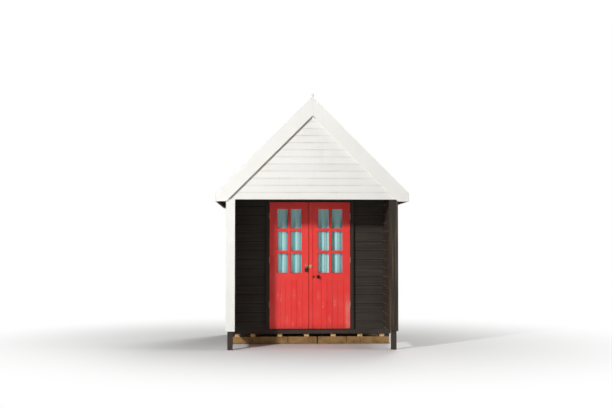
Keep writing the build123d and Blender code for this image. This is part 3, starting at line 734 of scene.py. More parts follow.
def dark_metal():
    """Blackened iron, worn to bronze where hands touch it."""
    finish = Finish("dark_metal", metallic=0.8)
    worn = finish.patches(0.016, 4.0)
    fine = finish.patches(0.002, 2.0)
    colour = finish.layered(
        (48, 45, 42),
        (worn, 0.5, 0.68, 1, (104, 90, 70)),
        (fine, 0.6, 0.8, 0.4, (30, 28, 26)),
    )
    return finish.complete(colour, finish.span(worn, 0.3, 0.7, 0.3, 0.52), fine, 0.0002)


white = {direction: white_paint(direction) for direction in grain_turns}
black = {direction: black_stain(direction) for direction in grain_turns}
weathered = {direction: weathered_black(direction) for direction in ("deep", "upright")}
sawn = {direction: sawn_timber(direction) for direction in grain_turns}
grey = {direction: grey_timber(direction) for direction in ("level", "deep", "upright")}
red = {direction: red_paint(direction) for direction in ("level", "upright")}
felt, block_concrete, bedding, joist_ends = roof_felt(), concrete(), mortar(), end_grain()
glass, cloth, iron = window_glass(), curtain_cloth(), dark_metal()
galvanised = zinc("zinc", (190, 192, 188), (150, 152, 148))
brassy_zinc = zinc("brassy_zinc", (198, 192, 150), (158, 152, 112))


# Lapped boards
def lapped_board(width, course, thick, thin, stations):
    """One feather-edged board facing -Y: its lip hangs over the top of the board below."""
    board = block("board", (0, -thick, lap_cover), (width, 0, course + lap_cover))
    chosen(board, "VERT", lambda p: p.y < -thick / 2 and p.z > course / 2)
    bpy.ops.transform.translate(value=(0, thick - thin, 0))
    done()
    split(board, Y, -thin - lap_play)
    chosen(board, "FACE", lambda c, n: n.z < -0.9 and c.y < -thin - lap_play)
    extrude((0, 0, -lap_cover))
    done()
    split(board, Z, lip_band, course - lap_shade_band, course - lap_shade_band / 3)
    divide(board, X, stations)
    ease(board, lip_arris)
    whole(board)
    bpy.ops.mesh.dissolve_degenerate(threshold=0.00001)
    done()
    mark(board, "lip", lambda p: 1.0 if p.z < lip_band - touch and p.y < -thin else 0.0)
    # The band under the next board's lip, where the finishes paint shade.
    mark(board, "shade_under_lap", lambda p: 1.0 if p.z > course - lap_shade_band / 2 else 0.0)
    return board


def laps_between(low, high, course=wall_course, first_lap=first_wall_lap):
    """Heights at which boards start, from the lowest up."""
    laps = [low]
    lap = first_lap
    while lap < high - shortest_course:
        if lap > low + shortest_course:
            laps.append(lap)
        lap += course
    return laps


def lapped_wall(name, width, laps, top, seed, course=wall_course, thick=board_thick, thin=board_thin):
    """Boards one above the other, each a little different, facing -Y with their backs on Y = 0."""
    draw = random.Random(seed)
    master = lapped_board(width, course, thick, thin, max(2, round(width / station_pitch)))
    boards = []
    for low, high in zip(laps, laps[1:] + [laps[-1] + course]):
        board = twin(master)
        share = (high - low) / course
        tone, bow, sway, phase = draw.random(), draw.uniform(0.2, 1.0), draw.uniform(1.5, 3.5), draw.random()
        for vertex in board.data.vertices:
            height = vertex.co.z / course
            wave = board_bow * bow * sin(sway * vertex.co.x + tau * phase)
            if vertex.co.y < -thin / 2:
                vertex.co.y -= wave * (1 - height)
            vertex.co.z = low + vertex.co.z * share
        mark(board, "tone", tone)
        boards.append(board)
    discard(master)
    wall = joined(name, boards)
    if laps[-1] + course > top + 0.0005:
        cut_off(wall, (0, 0, top), (0, 0, 1))
    return wall


def spread(low, high, count):
    """Even places from low to high."""
    return [low + (high - low) * step / (count - 1) for step in range(count)]


def nails_on(piece_name, laps, columns, outward, back, limit, course=wall_course):
    """A nail head in every board at each stud, standing in the board's sloping face."""
    out = board_thick - (board_thick - board_thin) * nail_rise / (course + lap_cover)
    places = []
    for lap in laps:
        for column in columns:
            height = lap + nail_rise
            if height < limit(column) - nail_clear:
                if abs(outward[1]) > 0.5:
                    places.append((column, back + outward[1] * out, height))
                else:
                    places.append((back + outward[0] * out, column, height))
    return heads(piece_name, places, outward, nail_radius, nail_head)


def board_by_board(wall, work):
    """Do the same work on each board of a wall by itself, so that every cut closes."""
    whole(wall)
    bpy.ops.mesh.separate(type="LOOSE")
    done()
    boards = [piece for piece in bpy.context.selected_objects if piece != wall]
    for board in boards + [wall]:
        work(board)
    left = [board for board in boards if board.data.vertices]
    for board in boards:
        if not board.data.vertices:
            discard(board)
    select(*left, wall)
    bpy.ops.object.join()


def gable_cuts(wall):
    """Saw a wall's boards to the two slopes of the roof."""

    def saw(board):
        cut_off(board, (0, 0, roof_apex), (1, 0, 1))
        cut_off(board, (0, 0, roof_apex), (-1, 0, 1))

    board_by_board(wall, saw)


def front_gable():
    """White lapped boards that fill the front gable."""
    laps = laps_between(gable_low.z, roof_apex, gable_course, gable_low.z + gable_course)
    wall = lapped_wall("gable_boards", gable_high.x - gable_low.x, laps, roof_apex, 11, gable_course)
    placed(wall, place=(gable_low.x, gable_high.y, 0))
    gable_cuts(wall)
    dress(wall, "hut", (white["level"], black["level"]), ["front_gable_cladding"])
    second_finish(wall, lambda c, n: n.y > 0.9 and c.y > gable_high.y - touch)
    under_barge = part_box("finial")[0].z - barge_cover
    nails = nails_on(
        "gable_nails", laps, spread(-gable_nail_reach, gable_nail_reach, 5), (0, -1, 0), gable_high.y,
        lambda x: under_barge - abs(x), gable_course,
    )
    dress(nails, "hut", (white["upright"],))


def in_porch(place):
    return place.y < porch_end


def side_walls():
    """Black lapped boards along both sides; they reach lower behind the porch."""
    laps = laps_between(side_low.z, side_high.z)
    cheek_bottom = lining_low.z
    full = [lap for lap in laps if lap > cheek_bottom]
    low_laps = [lap for lap in laps if lap < cheek_bottom]
    front_y, rear_y = side_low.y, side_high.y
    low_top = full[0] + lap_cover
    for side, side_name in ((-1, "left"), (1, "right")):
        upper = lapped_wall("upper", rear_y - front_y, full, side_high.z, 20 + side)
        porch = lapped_wall("porch", front_wall_y - front_y, [cheek_bottom], low_top, 30 + side)
        room = lapped_wall("room", rear_y - front_wall_y, low_laps, low_top, 40 + side)
        starts = ((upper, front_y, rear_y), (porch, front_y, front_wall_y), (room, front_wall_y, rear_y))
        for piece, start, end in starts:
            placed(piece, (0, 0, side * pi / 2), (side * x_stud_out, start if side > 0 else end, 0))
        wall = joined(f"{side_name}_side_boards", [upper, porch, room])
        split(wall, Y, porch_end)
        dress(wall, "hut", (black["deep"], sawn["deep"]), [f"{side_name}_side_cladding"])
        second_finish(
            wall, lambda c, n: n.x * side < -0.9 and abs(c.x) < x_stud_out + touch and not in_porch(c)
        )
        columns = spread(front_y + stud_inset, rear_y - stud_inset, 6)
        nails = nails_on(
            f"{side_name}_side_nails", full, columns, (side, 0, 0), side * x_stud_out,
            lambda y: side_high.z,
        )
        dress(nails, "hut", (galvanised,))


def rear_wall():
    """Black lapped boards across the back, between the trims and up into the gable."""
    laps = laps_between(rear_low.z, rear_high.z)
    trim_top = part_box("rear_corner_trims")[1].z
    side_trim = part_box("right_corner_trim")[0].x
    low_laps = [lap for lap in laps if lap < trim_top]
    high_laps = [lap for lap in laps if lap > trim_top]
    narrow, wide = 2 * side_trim, rear_high.x - rear_low.x
    low_top = high_laps[0] + lap_cover
    middle = lapped_wall("middle", narrow, low_laps, low_top, 51)
    gable = lapped_wall("gable", wide, high_laps, roof_apex, 52)
    placed(middle, (0, 0, pi), (narrow / 2, rear_low.y, 0))
    placed(gable, (0, 0, pi), (wide / 2, rear_low.y, 0))
    ends = []
    for side in (-1, 1):
        end = lapped_wall("end", (wide - narrow) / 2, [low_laps[-1]], low_top, 53)
        cut_off(end, (0, 0, trim_top), (0, 0, -1))
        ends.append(placed(end, (0, 0, pi), (wide / 2 if side > 0 else -narrow / 2, rear_low.y, 0)))
    wall = joined("rear_boards", [middle, gable] + ends)
    gable_cuts(wall)
    dress(wall, "hut", (black["level"], sawn["level"]), ["rear_cladding"])
    second_finish(wall, lambda c, n: n.y < -0.9 and c.y < rear_low.y + touch)
    columns = spread(stud_inset - side_trim, side_trim - stud_inset, 5)
    nails = nails_on(
        "rear_nails", low_laps[:-1] + high_laps, columns, (0, 1, 0), rear_low.y,
        lambda x: roof_apex - barge_cover - abs(x),
    )
    dress(nails, "hut", (galvanised,))


def porch_linings():
    """Lapped boards inside the two cheeks of the porch."""
    laps = laps_between(lining_low.z, lining_high.z)
    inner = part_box("right_porch_lining")[1].x
    for side, side_name in ((-1, "left"), (1, "right")):
        wall = lapped_wall(
            f"{side_name}_lining_boards", lining_high.y - lining_low.y, laps, lining_high.z, 60 + side,
            thick=lining_thick, thin=lining_thin,
        )
        start = lining_low.y if side < 0 else lining_high.y
        placed(wall, (0, 0, -side * pi / 2), (side * inner, start, 0))
        finishes = (weathered["deep"], sawn["deep"])
        dress(wall, "hut", finishes, [f"{side_name}_porch_lining"])
        second_finish(wall, lambda c, n: n.x * side > 0.9 and abs(c.x) > inner - touch)


def front_wall():
    """Black lapped boards beside and over the doorway."""
    back = beside_high.y
    laps = laps_between(beside_low.z, beside_high.z)
    finishes = (black["level"], sawn["level"])
    for side, side_name in ((-1, "left"), (1, "right")):
        wall = lapped_wall(
            f"front_boards_{side_name}", beside_high.x - beside_low.x, laps, beside_high.z, 70 + side
        )
        placed(wall, place=(beside_low.x if side > 0 else -beside_high.x, back, 0))
        dress(wall, "hut", finishes, [f"front_cladding_{side_name}"])
        second_finish(wall, lambda c, n: n.y > 0.9 and c.y > back - touch)
        columns = [side * (beside_low.x + stud_inset), side * (beside_high.x - stud_inset)]
        nails = nails_on(
            f"front_nails_{side_name}", laps, columns, (0, -1, 0), back, lambda x: beside_high.z
        )
        dress(nails, "hut", (black["upright"],))
    laps = laps_between(over_low.z, roof_apex)
    over = lapped_wall("front_boards_over", over_high.x - over_low.x, laps, roof_apex, 75)
    placed(over, place=(over_low.x, back, 0))
    gable_cuts(over)
    ridge_low, ridge_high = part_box("ridge_board")
    gap = Vector((touch, 0, touch))
    notch = block("notch", ridge_low - gap, ridge_high + gap)

    def cut_notch(board):
        if any(vertex.co.z > ridge_low.z for vertex in board.data.vertices):
            cut_away(board, notch)

    board_by_board(over, cut_notch)
    discard(notch)
    dress(over, "hut", finishes, ["front_cladding_over"])
    second_finish(over, lambda c, n: n.y > 0.9 and c.y > back - touch)


# Timbers that keep the frame's shape, with their arrises eased
def eased(node, name, finish, width=arris):
    piece = from_node(node, name)
    ease(piece, width)
    dress(piece, "hut", (finish,), [node])


def stained(place, normal):
    """Whether a timber's face is seen from the porch."""
    return in_porch(place) and (normal.y < 0.5 or place.y < front_wall_y)


def stained_in_porch(node, name, direction):
    """A roof timber, bare over the room and stained black over the porch."""
    piece = from_node(node, name)
    ease(piece, arris)
    split(piece, Y, porch_end)
    dress(piece, "hut", (sawn[direction], black[direction]), [node])
    second_finish(piece, stained)


def rafters():
    """Rafters, bare over the room, black over the porch and outside the walls."""
    piece = from_node("rafters", "rafter_timbers")
    ease(piece, arris)
    split(piece, X, -side_face, side_face)
    finishes = (sawn["falling"], sawn["rising"], black["falling"], black["rising"])
    dress(piece, "hut", finishes, ["rafters"])
    for face in piece.data.polygons:
        black_part = abs(face.center.x) > side_face or stained(face.center, face.normal)
        face.material_index = (2 if black_part else 0) + (1 if face.center.x < 0 else 0)


def timbers():
    """Framing, trims, bargeboards and the doorway."""
    eased("front_posts", "posts", grey["upright"], worn_arris)
    eased("front_skirt_board", "skirt_board", grey["level"], worn_arris)
    eased("porch_bottom_rails", "porch_rails", grey["deep"])
    eased("side_bearers", "bearers", grey["deep"])
    stained_in_porch("wall_studs", "studs", "upright")
    stained_in_porch("gable_studs", "short_studs", "upright")
    stained_in_porch("wall_plates", "plates", "deep")
    eased("side_sole_plates", "side_soles", sawn["deep"])
    eased("cross_sole_plates", "cross_soles", sawn["level"])
    stained_in_porch("tie_beams", "ties", "level")
    stained_in_porch("ridge_board", "ridge_timber", "deep")
    rafters()
    eased("left_corner_trim", "left_trim", white["upright"], trim_arris)
    eased("right_corner_trim", "right_trim", weathered["upright"], worn_arris)
    trims = from_node("rear_corner_trims", "rear_trims")
    ease(trims, trim_arris)
    split(trims, X, -x_stud_out, x_stud_out)
    dress(trims, "hut", (black["upright"], sawn["upright"]), ["rear_corner_trims"])
    second_finish(trims, lambda c, n: n.y < -0.9 and abs(c.x) < x_stud_out)
    eased("eaves_fascias", "fascias", white["deep"], trim_arris)
    eased("bargeboard_front_left", "left_bargeboard", white["rising"], worn_arris)
    eased("bargeboard_front_right", "right_bargeboard", white["falling"], worn_arris)
    barges = from_node("rear_bargeboards", "back_bargeboards")
    ease(barges, worn_arris)
    dress(barges, "hut", (white["falling"], white["rising"]), ["rear_bargeboards"])
    second_finish(barges, lambda c, n: c.x < 0)
    doorway = from_node("door_frame", "doorway_frame")
    ease(doorway, trim_arris)
    dress(doorway, "hut", (black["upright"], black["level"]), ["door_frame"])
    head_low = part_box("left_door_frame")[1].z
    jamb_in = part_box("door_stops")[1].x
    second_finish(doorway, lambda c, n: c.z > head_low and abs(c.x) < jamb_in)
    eased("door_stops", "planted_stops", black["upright"])


def apex_screws():
    """Two old screws low in the right bargeboard, beside the apex."""
    places = [(x, barge_low.y, z) for x, z in ((0.0176, 3.3126), (0.0368, 3.2914))]
    dress(slotted_screws("apex_screws", places, barge_screw, 100), "hut", (iron,))


def finial():
    """A turned ball on a short neck, at the apex of the front bargeboards."""
    low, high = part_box("finial")
    ball = (high.x - low.x) / 2
    neck = 0.0165
    joint = high.z - 2 * ball
    neck_rings = ((-0.022, neck), (-0.004, neck), (-0.001, neck * 1.12), (0.002, neck))
    rings = [(joint + rise, radius) for rise, radius in neck_rings]
    rings += round_rings(ball, high.z - ball, 42, 178, 12)
    piece = ringed("turned_finial", ((low.x + high.x) / 2, (low.y + high.y) / 2, 0), rings, (0, 0, 1))
    smooth(piece)
    dress(piece, "hut", (white["upright"],), ["finial"])


# Base
def roughened(piece, strength, size, floor_height=0.0):
    """Break up a squared block's faces and knock its corners about."""
    whole(piece)
    bpy.ops.mesh.subdivide(number_cuts=1)
    done()
    lumps = bpy.data.textures.get(f"lumps_{size}") or bpy.data.textures.new(f"lumps_{size}", "CLOUDS")
    lumps.noise_scale = size
    apply_modifier(
        piece, "DISPLACE", texture=lumps, strength=strength, mid_level=0.6, texture_coords="GLOBAL"
    )
    for vertex in piece.data.vertices:
        vertex.co.z = max(vertex.co.z, floor_height)


def foundations():
    """Concrete blocks laid in mortar."""
    low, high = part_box("mortar_beds")
    blocks = from_node("foundation_blocks", "blocks")
    whole(blocks)
    bpy.ops.mesh.separate(type="LOOSE")
    done()
    made = []
    for piece in list(bpy.context.selected_objects):
        stone = block("stone", piece.bound_box[0], piece.bound_box[6])
        discard(piece)
        ease(stone, stone_arris)
        for axis, stations in zip((X, Y, Z), stone_stations):
            divide(stone, axis, stations)
        roughened(stone, *stone_lumps, high.z)
        made.append(stone)
    stones = joined("concrete_blocks", made)
    smooth(stones, 30)
    dress(stones, "hut", (block_concrete,), ["foundation_blocks"])
    rows = sorted({round(vertex.co.y, 4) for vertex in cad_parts["mortar_beds"].data.vertices})
    beds = []
    for y_low, y_high in (rows[:2], rows[2:4]):
        bed = block("bed", (low.x, y_low, low.z), (high.x, y_high, high.z))
        divide(bed, X, bed_stations)
        roughened(bed, *bed_lumps)
        beds.append(bed)
    mortar_piece = joined("bedding_mortar", beds)
    smooth(mortar_piece)
    dress(mortar_piece, "hut", (bedding,), ["mortar_beds"])


def joists():
    """Floor joists, each sawn from its own part of the tree."""
    piece = from_node("floor_joists", "joists")
    edges = sorted({round(vertex.co.x, 4) for vertex in piece.data.vertices})
    low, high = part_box("floor_joists")
    ease(piece, worn_arris)
    draw = random.Random(6)
    hearts = []
    for edge, next_edge in zip(edges[::2], edges[1::2]):
        middle = (edge + next_edge) / 2
        hearts.append((middle, middle + draw.uniform(-0.05, 0.05), low.z + draw.uniform(-0.06, 0.02)))

    def heart(place):
        """Where the heart of the tree lay, for the joist at this place."""
        return min(hearts, key=lambda entry: abs(place.x - entry[0]))

    mark(piece, "across", lambda p: p.x - heart(p)[1])
    mark(piece, "rise", lambda p: p.z - heart(p)[2])
    mark(piece, "tone", lambda p: heart(p)[1] % 1)
    dress(piece, "hut", (sawn["deep"], joist_ends), ["floor_joists"])
    second_finish(piece, lambda c, n: abs(n.y) > 0.9 and min(c.y - low.y, high.y - c.y) < touch)


def floor():
    """Floor boards across the joists."""
    low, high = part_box("floor_deck")
    pitch = (high.y - low.y) / floor_boards
    board = block("board", low, (high.x, low.y + pitch - floor_gap, high.z))
    ease(board, board_arris)
    moves = [(0, count * pitch, 0) for count in range(floor_boards)]
    boards = toned_copies("floor_boards", board, moves, random.Random(5))
    dress(boards, "hut", (sawn["level"],), ["floor_deck"])


# Roof
def roof():
    """Boards, lapped felt and its nails on each slope, and the ridge cap."""
    slope_length = deck_high.x * sqrt(2)
    pitch = (slope_length - deck_thick - fold_room) / roof_boards
    felt_end = slope_length - deck_thick - 2 * felt_thick
    clout_ys = clout_places(deck_low.y + 0.03, deck_high.y - 0.03)
    apex = (0, 0, roof_apex)
    for side, side_name in ((-1, "left"), (1, "right")):
        draw = random.Random(80 + side)
        turn = (0, side * pi / 4, 0)
        board = block("board", (0, deck_low.y, 0), (pitch - roof_gap, deck_high.y, deck_thick))
        ease(board, board_arris)
        moves = [(count * pitch if side > 0 else -(count + 1) * pitch, 0, 0) for count in range(roof_boards)]
        boards = placed(toned_copies(f"roof_boards_{side_name}", board, moves, draw), turn, apex)
        split(boards, Y, porch_end)
        dress(boards, "hut", (sawn["deep"], black["deep"]), [f"roof_deck_{side_name}"])
        second_finish(boards, lambda c, n: in_porch(c))
        strips, nails = [], []
        start = felt_end
        while start > 0:
            end = max(start - felt_strip, 0)
            lapped = start < felt_end
            strips.append(felt_sheet(start, end, lapped, side, draw))
            if lapped:
                row = side * (start - clout_inset)
                nails += [(row, y, deck_thick + 2 * felt_thick) for y in clout_ys]
            start = end + felt_lap if end > 0 else 0
        covering = placed(joined(f"felt_{side_name}", strips), turn, apex)
        smooth(covering)
        dress(covering, "hut", (felt,), [f"roof_felt_{side_name}"])
        clouts = placed(heads(f"clouts_{side_name}", nails, (0, 0, 1), clout_radius), turn, apex)
        dress(clouts, "hut", (galvanised,))
    eased("ridge_cap", "felt_cap", felt, lip_arris)


def clout_places(low, high):
    """Even places between two ends, about a nail's pitch apart."""
    return spread(low, high, max(1, round((high - low) / clout_pitch)) + 1)


def felt_sheet(low_end, high_end, lapped, side, draw):
    """A strip of felt; its lower edge lies over the strip below, or is folded down at the eaves."""
    lift = felt_thick if lapped else 0.0
    sway = felt_sway if lapped else 0.0
    top = deck_thick + felt_thick
    strip = block("strip", (high_end, deck_low.y, deck_thick), (low_end, deck_high.y, top))
    split(strip, X, low_end - felt_lap - 0.02, low_end - felt_lap, low_end - bitumen_edge)
    if not lapped:
        split(strip, X, low_end - felt_thick)
        chosen(strip, "FACE", lambda c, n: n.z < -0.9 and c.x > low_end - felt_thick)
        extrude((0, 0, fold_clear - deck_thick))
        done()
    divide(strip, Y, felt_stations)
    phase, pull = draw.random() * tau, draw.uniform(3, 6)
    for vertex in strip.data.vertices:
        raised = lift if vertex.co.x > low_end - felt_lap - touch else 0.0
        vertex.co.z += raised + felt_ripple * (1 + sin(pull * vertex.co.y + phase))
        if vertex.co.x > low_end - touch:
            vertex.co.x -= sway * (1 + sin(2.3 * pull * vertex.co.y + phase))
        vertex.co.x *= side
    if side < 0:
        face_outward(strip)
    mark(strip, "tone", draw.random())
    mark(strip, "lip", lambda p: 0.8 if lapped and abs(p.x) > low_end - 0.012 else 0.0)
    return strip


# Doors
def pane_places(side_name):
    """Low corner of each pane's opening, and the opening's size."""
    low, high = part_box(f"{side_name}_door_glass")
    x_low, x_high = low.x + glazing_rebate, high.x - glazing_rebate
    z_low, z_high = low.z + glazing_rebate, high.z - glazing_rebate
    width = (x_high - x_low - (pane_columns - 1) * pane_bar) / pane_columns
    height = (z_high - z_low - (pane_rows - 1) * pane_bar) / pane_rows
    corners = [
        (x_low + column * (width + pane_bar), z_low + row * (height + pane_bar))
        for row in range(pane_rows)
        for column in range(pane_columns)
    ]
    return corners, width, height


def bead_frame(width, height, bead, y_face, y_seat):
    """A moulded bead round one pane, its face rounded towards the glass."""
    piece = block("bead", (0, min(y_face, y_seat), 0), (width, max(y_face, y_seat), height))
    chosen(piece, "FACE", lambda c, n: abs(n.y) > 0.9)
    bpy.ops.mesh.inset(thickness=bead, use_individual=True)
    bpy.ops.mesh.bridge_edge_loops()
    done()
    chosen(
        piece, "EDGE",
        lambda m, d: abs(m.y - y_face) < 0.0005 and max(abs(d.x), abs(d.z)) > 0.99
        and bead / 2 < m.x < width - bead / 2 and bead / 2 < m.z < height - bead / 2,
    )
    bpy.ops.mesh.bevel(offset=bead * 0.75, segments=4, profile=0.5)
    done()
    face_outward(piece)
    return piece


def beads(side_name, body):
    """Beads before and behind each pane of a leaf."""
    corners, width, height = pane_places(side_name)
    glass_low, glass_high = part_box(f"{side_name}_door_glass")
    front = bead_frame(width, height, front_bead, glass_low.y - front_bead_depth, glass_low.y)
    rear_width, rear_height = width + 2 * glazing_rebate, height + 2 * glazing_rebate
    rear = bead_frame(rear_width, rear_height, rear_bead, glass_high.y + rear_bead_depth, glass_high.y)
    made = []
    for x, z in corners:
        made.append(twin(front, (x, 0, z)))
        made.append(twin(rear, (x - glazing_rebate, 0, z - glazing_rebate)))
    discard(front)
    discard(rear)
    dress(joined(f"{side_name}_glazing_beads", made), body, (red["upright"],))


# Places and radii of the scuffs on the doors, as X, Z and radius
scuffs = (
    (-0.237, 0.756, 0.030), (-0.482, 0.723, 0.026), (-0.431, 0.689, 0.032), (-0.152, 0.596, 0.024),
    (-0.351, 0.359, 0.034), (-0.258, 0.300, 0.022), (-0.135, 0.317, 0.026), (0.127, 0.727, 0.030),
    (0.372, 0.621, 0.032), (0.194, 0.587, 0.024), (0.076, 0.435, 0.022), (0.296, 0.368, 0.030),
)


def mark_scuffs(piece, y_face):
    """How much paint is scuffed at each place on a door's face, most in the middle of a scuff."""

    def scuffed(place):
        worst = 0.0
        for x, z, radius in scuffs:
            worst = max(worst, 1 - hypot(place.x - x, (place.z - z) * 0.35) / radius)
        return min(1.0, 1.6 * worst)

    mark(piece, "scuff", lambda p: scuffed(p) if p.y < y_face + painted_depth else 0.0)


def leaf_boards(side_name, body):
    """Matched boards in the lower half of a leaf, with a groove at each joint."""
    low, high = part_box(f"{side_name}_door_boards")
    pitch = (high.x - low.x) / door_boards
    board = block("board", low, (low.x + pitch - door_board_gap, high.y, high.z))
    chosen(board, "EDGE", lambda m, d: abs(d.z) > 0.99 and m.y < (low.y + high.y) / 2)
    bpy.ops.mesh.bevel(offset=door_board_chamfer, segments=2, profile=0.5)
    done()
    divide(board, Z, round((high.z - low.z) / scuff_grid))
    divide(board, X, round(pitch / scuff_grid))
    draw = random.Random(90 if side_name == "left" else 91)
    made = []
    for count in range(door_boards):
        copy = twin(board, (count * pitch, draw.uniform(-0.0004, 0.0004), 0))
        mark(copy, "tone", draw.random())
        mark_scuffs(copy, low.y)
        mark(copy, "groove", lambda p: min(1.0, max(0.0, (p.y - low.y - 0.0008) / door_board_chamfer)))
        made.append(copy)
    discard(board)
    boards = joined(f"{side_name}_matched_boards", made)
    dress(boards, body, (red["upright"],), [f"{side_name}_door_boards"])


def leaf_members(side_name, body):
    """Stiles, rails and glazing bars of a leaf, each its own timber, rebated behind for the glass."""
    low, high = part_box(f"{side_name}_door_frame")
    field_low, field_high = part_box(f"{side_name}_door_boards")
    glass_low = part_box(f"{side_name}_door_glass")[0]
    corners, width, height = pane_places(side_name)
    x_low, x_high = corners[0][0], corners[1][0] + width
    lock_rail, top_rail = corners[0][1], corners[-1][1] + height
    rebates = []
    for x, z in corners:
        reach = (x + width + glazing_rebate, high.y + 0.01, z + height + glazing_rebate)
        rebates.append(block("rebate", (x - glazing_rebate, glass_low.y, z - glazing_rebate), reach))
    rebate = joined("rebate", rebates)
    uprights = []
    for edge, board_edge, glass_edge in ((low.x, field_low.x, x_low), (high.x, field_high.x, x_high)):
        left, right = min(edge, board_edge), max(edge, board_edge)
        stile = block("stile", (left, low.y, low.z), (right, high.y, high.z))
        split(stile, Z, lock_rail)
        chosen(
            stile, "FACE",
            lambda c, n: abs(c.x - board_edge) < 0.0005 and abs(n.x) > 0.9 and c.z > lock_rail,
        )
        extrude((glass_edge - board_edge, 0, 0))
        done()
        uprights.append(stile)
    uprights.append(block("bar", (x_low + width, low.y, lock_rail), (x_high - width, high.y, top_rail)))
    levels = [
        block("top", (x_low, low.y, top_rail), (x_high, high.y, high.z)),
        block("lock", (field_low.x, low.y, field_high.z), (field_high.x, high.y, lock_rail)),
        block("ledge", (field_low.x, field_high.y, low.z), (field_high.x, high.y, low.z + ledge_height)),
    ]
    for x, z in corners[pane_columns:]:
        levels.append(block("bar", (x, low.y, z - pane_bar), (x + width, high.y, z)))
    for name, members, direction in (("stiles", uprights, "upright"), ("rails", levels, "level")):
        for member in members:
            if max(vertex.co.z for vertex in member.data.vertices) > lock_rail:
                cut_away(member, rebate)
            ease(member, joint_ease)
        timber = joined(f"{side_name}_leaf_{name}", members)
        mark_scuffs(timber, low.y)
        dress(timber, body, (red[direction],), [f"{side_name}_door_frame"])
    discard(rebate)


def leaf(side_name, body):
    """One glazed leaf: its timbers, boards, beads, glass, curtain rod and hinges."""
    leaf_members(side_name, body)
    leaf_boards(side_name, body)
    beads(side_name, body)
    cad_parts[f"{side_name}_door_glass"].material_slots[0].material = glass
    metalwork(f"{side_name}_curtain_rod", f"{side_name}_rod", body, galvanised, rod_arris)
    metalwork(f"{side_name}_door_hinges", f"{side_name}_hinge_flaps", body, galvanised, hinge_arris)


# Curtains
def curtain(side_name, body, seed):
    """A curtain gathered on its rod by a sewn pocket, hanging in soft uneven folds to a hem."""
    low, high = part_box(f"{side_name}_curtain")
    rod_low, rod_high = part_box(f"{side_name}_curtain_rod")
    draw = random.Random(seed)
    width = high.x - low.x
    y_middle = (low.y + high.y) / 2
    rod_z = (rod_low.z + rod_high.z) / 2
    pocket = rod_radius + pocket_slack
    columns, steps = 300, 56
    drift = [(draw.uniform(0.5, 2.6), draw.random() * tau, draw.uniform(0.25, 0.7)) for _ in range(4)]
    swell = [(draw.uniform(1.0, 4.0), draw.random() * tau) for _ in range(3)]
    lean = draw.random() * tau

    def fold(share, down):
        """Distance out of the plane of the cloth, at a share of the width and a distance below the rod."""
        wander = sum(size * sin(rate * tau * share + phase) for rate, phase, size in drift)
        full = 0.72 + 0.28 * sum(sin(rate * tau * share + phase) for rate, phase in swell) / 3
        settled = min(1.0, down / 0.4)
        settled = settled * settled * (3 - 2 * settled)
        angle = tau * width / fold_pitch * share + wander + 0.5 * sin(2.4 * down + lean)
        deep = fold_depth * full * settled * (sin(angle) + 0.22 * sin(2 * angle + lean)) / 1.15
        tight = gather_depth * (1 - settled) * sin(tau * width / gather_pitch * share + wander)
        return deep + tight

    foot = low.z + 0.002
    seam = rod_z - seam_drop
    rows = [("hem", foot + hem, layer_gap), ("hem", foot + hem / 2, layer_gap), ("hem", foot + 0.001, 0.001)]
    rows += [("fall", foot + (seam - foot) * step / steps, 0.0) for step in range(steps + 1)]
    rows += [("front", seam + seam_drop * share, share) for share in (0.35, 0.7)]
    rows += [("over", angle, 0.0) for angle in range(0, 181, 20)]
    rows += [("back", seam + seam_drop * share, share) for share in (0.7, 0.35, 0.0)]
    lines = []
    for kind, at, offset in rows:
        line = []
        for column in range(columns + 1):
            share = column / columns
            down = max(0.0, rod_z - (at if kind in ("hem", "fall") else seam))
            out = fold(share, down)
            slope = (fold(share + 0.0005, down) - fold(share - 0.0005, down)) / (0.001 * width)
            normal = Vector((-slope, 1)).normalized()
            x, y, z = low.x + width * share, out, at
            if kind in ("hem", "fall"):
                x += normal.x * offset
                y += normal.y * offset
            elif kind == "front":
                y = out * (1 - 0.4 * offset) - pocket * offset
            elif kind == "back":
                y = out * (1 - 0.4 * offset) + pocket * offset + layer_gap * (1 - offset)
            else:
                around = radians(at)
                reach = pocket + 0.3 * out * sin(around)
                y = 0.6 * out * abs(cos(around)) - cos(around) * reach
                z = rod_z + sin(around) * reach
            line.append(Vector((x, y_middle + y, z)))
        lines.append(line)
    name = f"{side_name}_gathered_curtain"
    mesh = bpy.data.meshes.new(name)
    count = columns + 1
    faces = []
    for row in range(len(rows) - 1):
        for column in range(columns):
            start = row * count + column
            faces.append((start, start + 1, start + count + 1, start + count))
    mesh.from_pydata([point for line in lines for point in line], [], faces)
    middle = lines[len(rows) // 2]
    flat_width = sum((b - a).length for a, b in zip(middle, middle[1:]))
    lengths = [0.0]
    for lower, upper in zip(lines, lines[1:]):
        lengths.append(lengths[-1] + (upper[columns // 2] - lower[columns // 2]).length)
    uv = mesh.uv_layers.new(name="cloth")
    for corner in mesh.loops:
        row, column = divmod(corner.vertex_index, count)
        uv.data[corner.index].uv = (flat_width * column / columns, lengths[row])
    piece = bpy.data.objects.new(name, mesh)
    bpy.context.collection.objects.link(piece)
    # How far forward the cloth stands, for the painted highlight on the fold ridges.
    mark(piece, "ridge", lambda p: min(1.0, max(0.0, 0.5 - (p.y - y_middle) / 0.026)))
    apply_modifier(piece, "SOLIDIFY", thickness=cloth_thick, offset=0.0)
    face_outward(piece)
    smooth(piece, 60)
    dress(piece, body, (cloth,), [f"{side_name}_curtain"])


# Ironmongery
def metalwork(node, name, body, finish, width, segments=2, angle=50):
    """A fitting that keeps the frame's shape, with its edges rounded."""
    piece = from_node(node, name)
    ease(piece, width, segments, angle)
    smooth(piece)
    dress(piece, body, (finish,), [node])


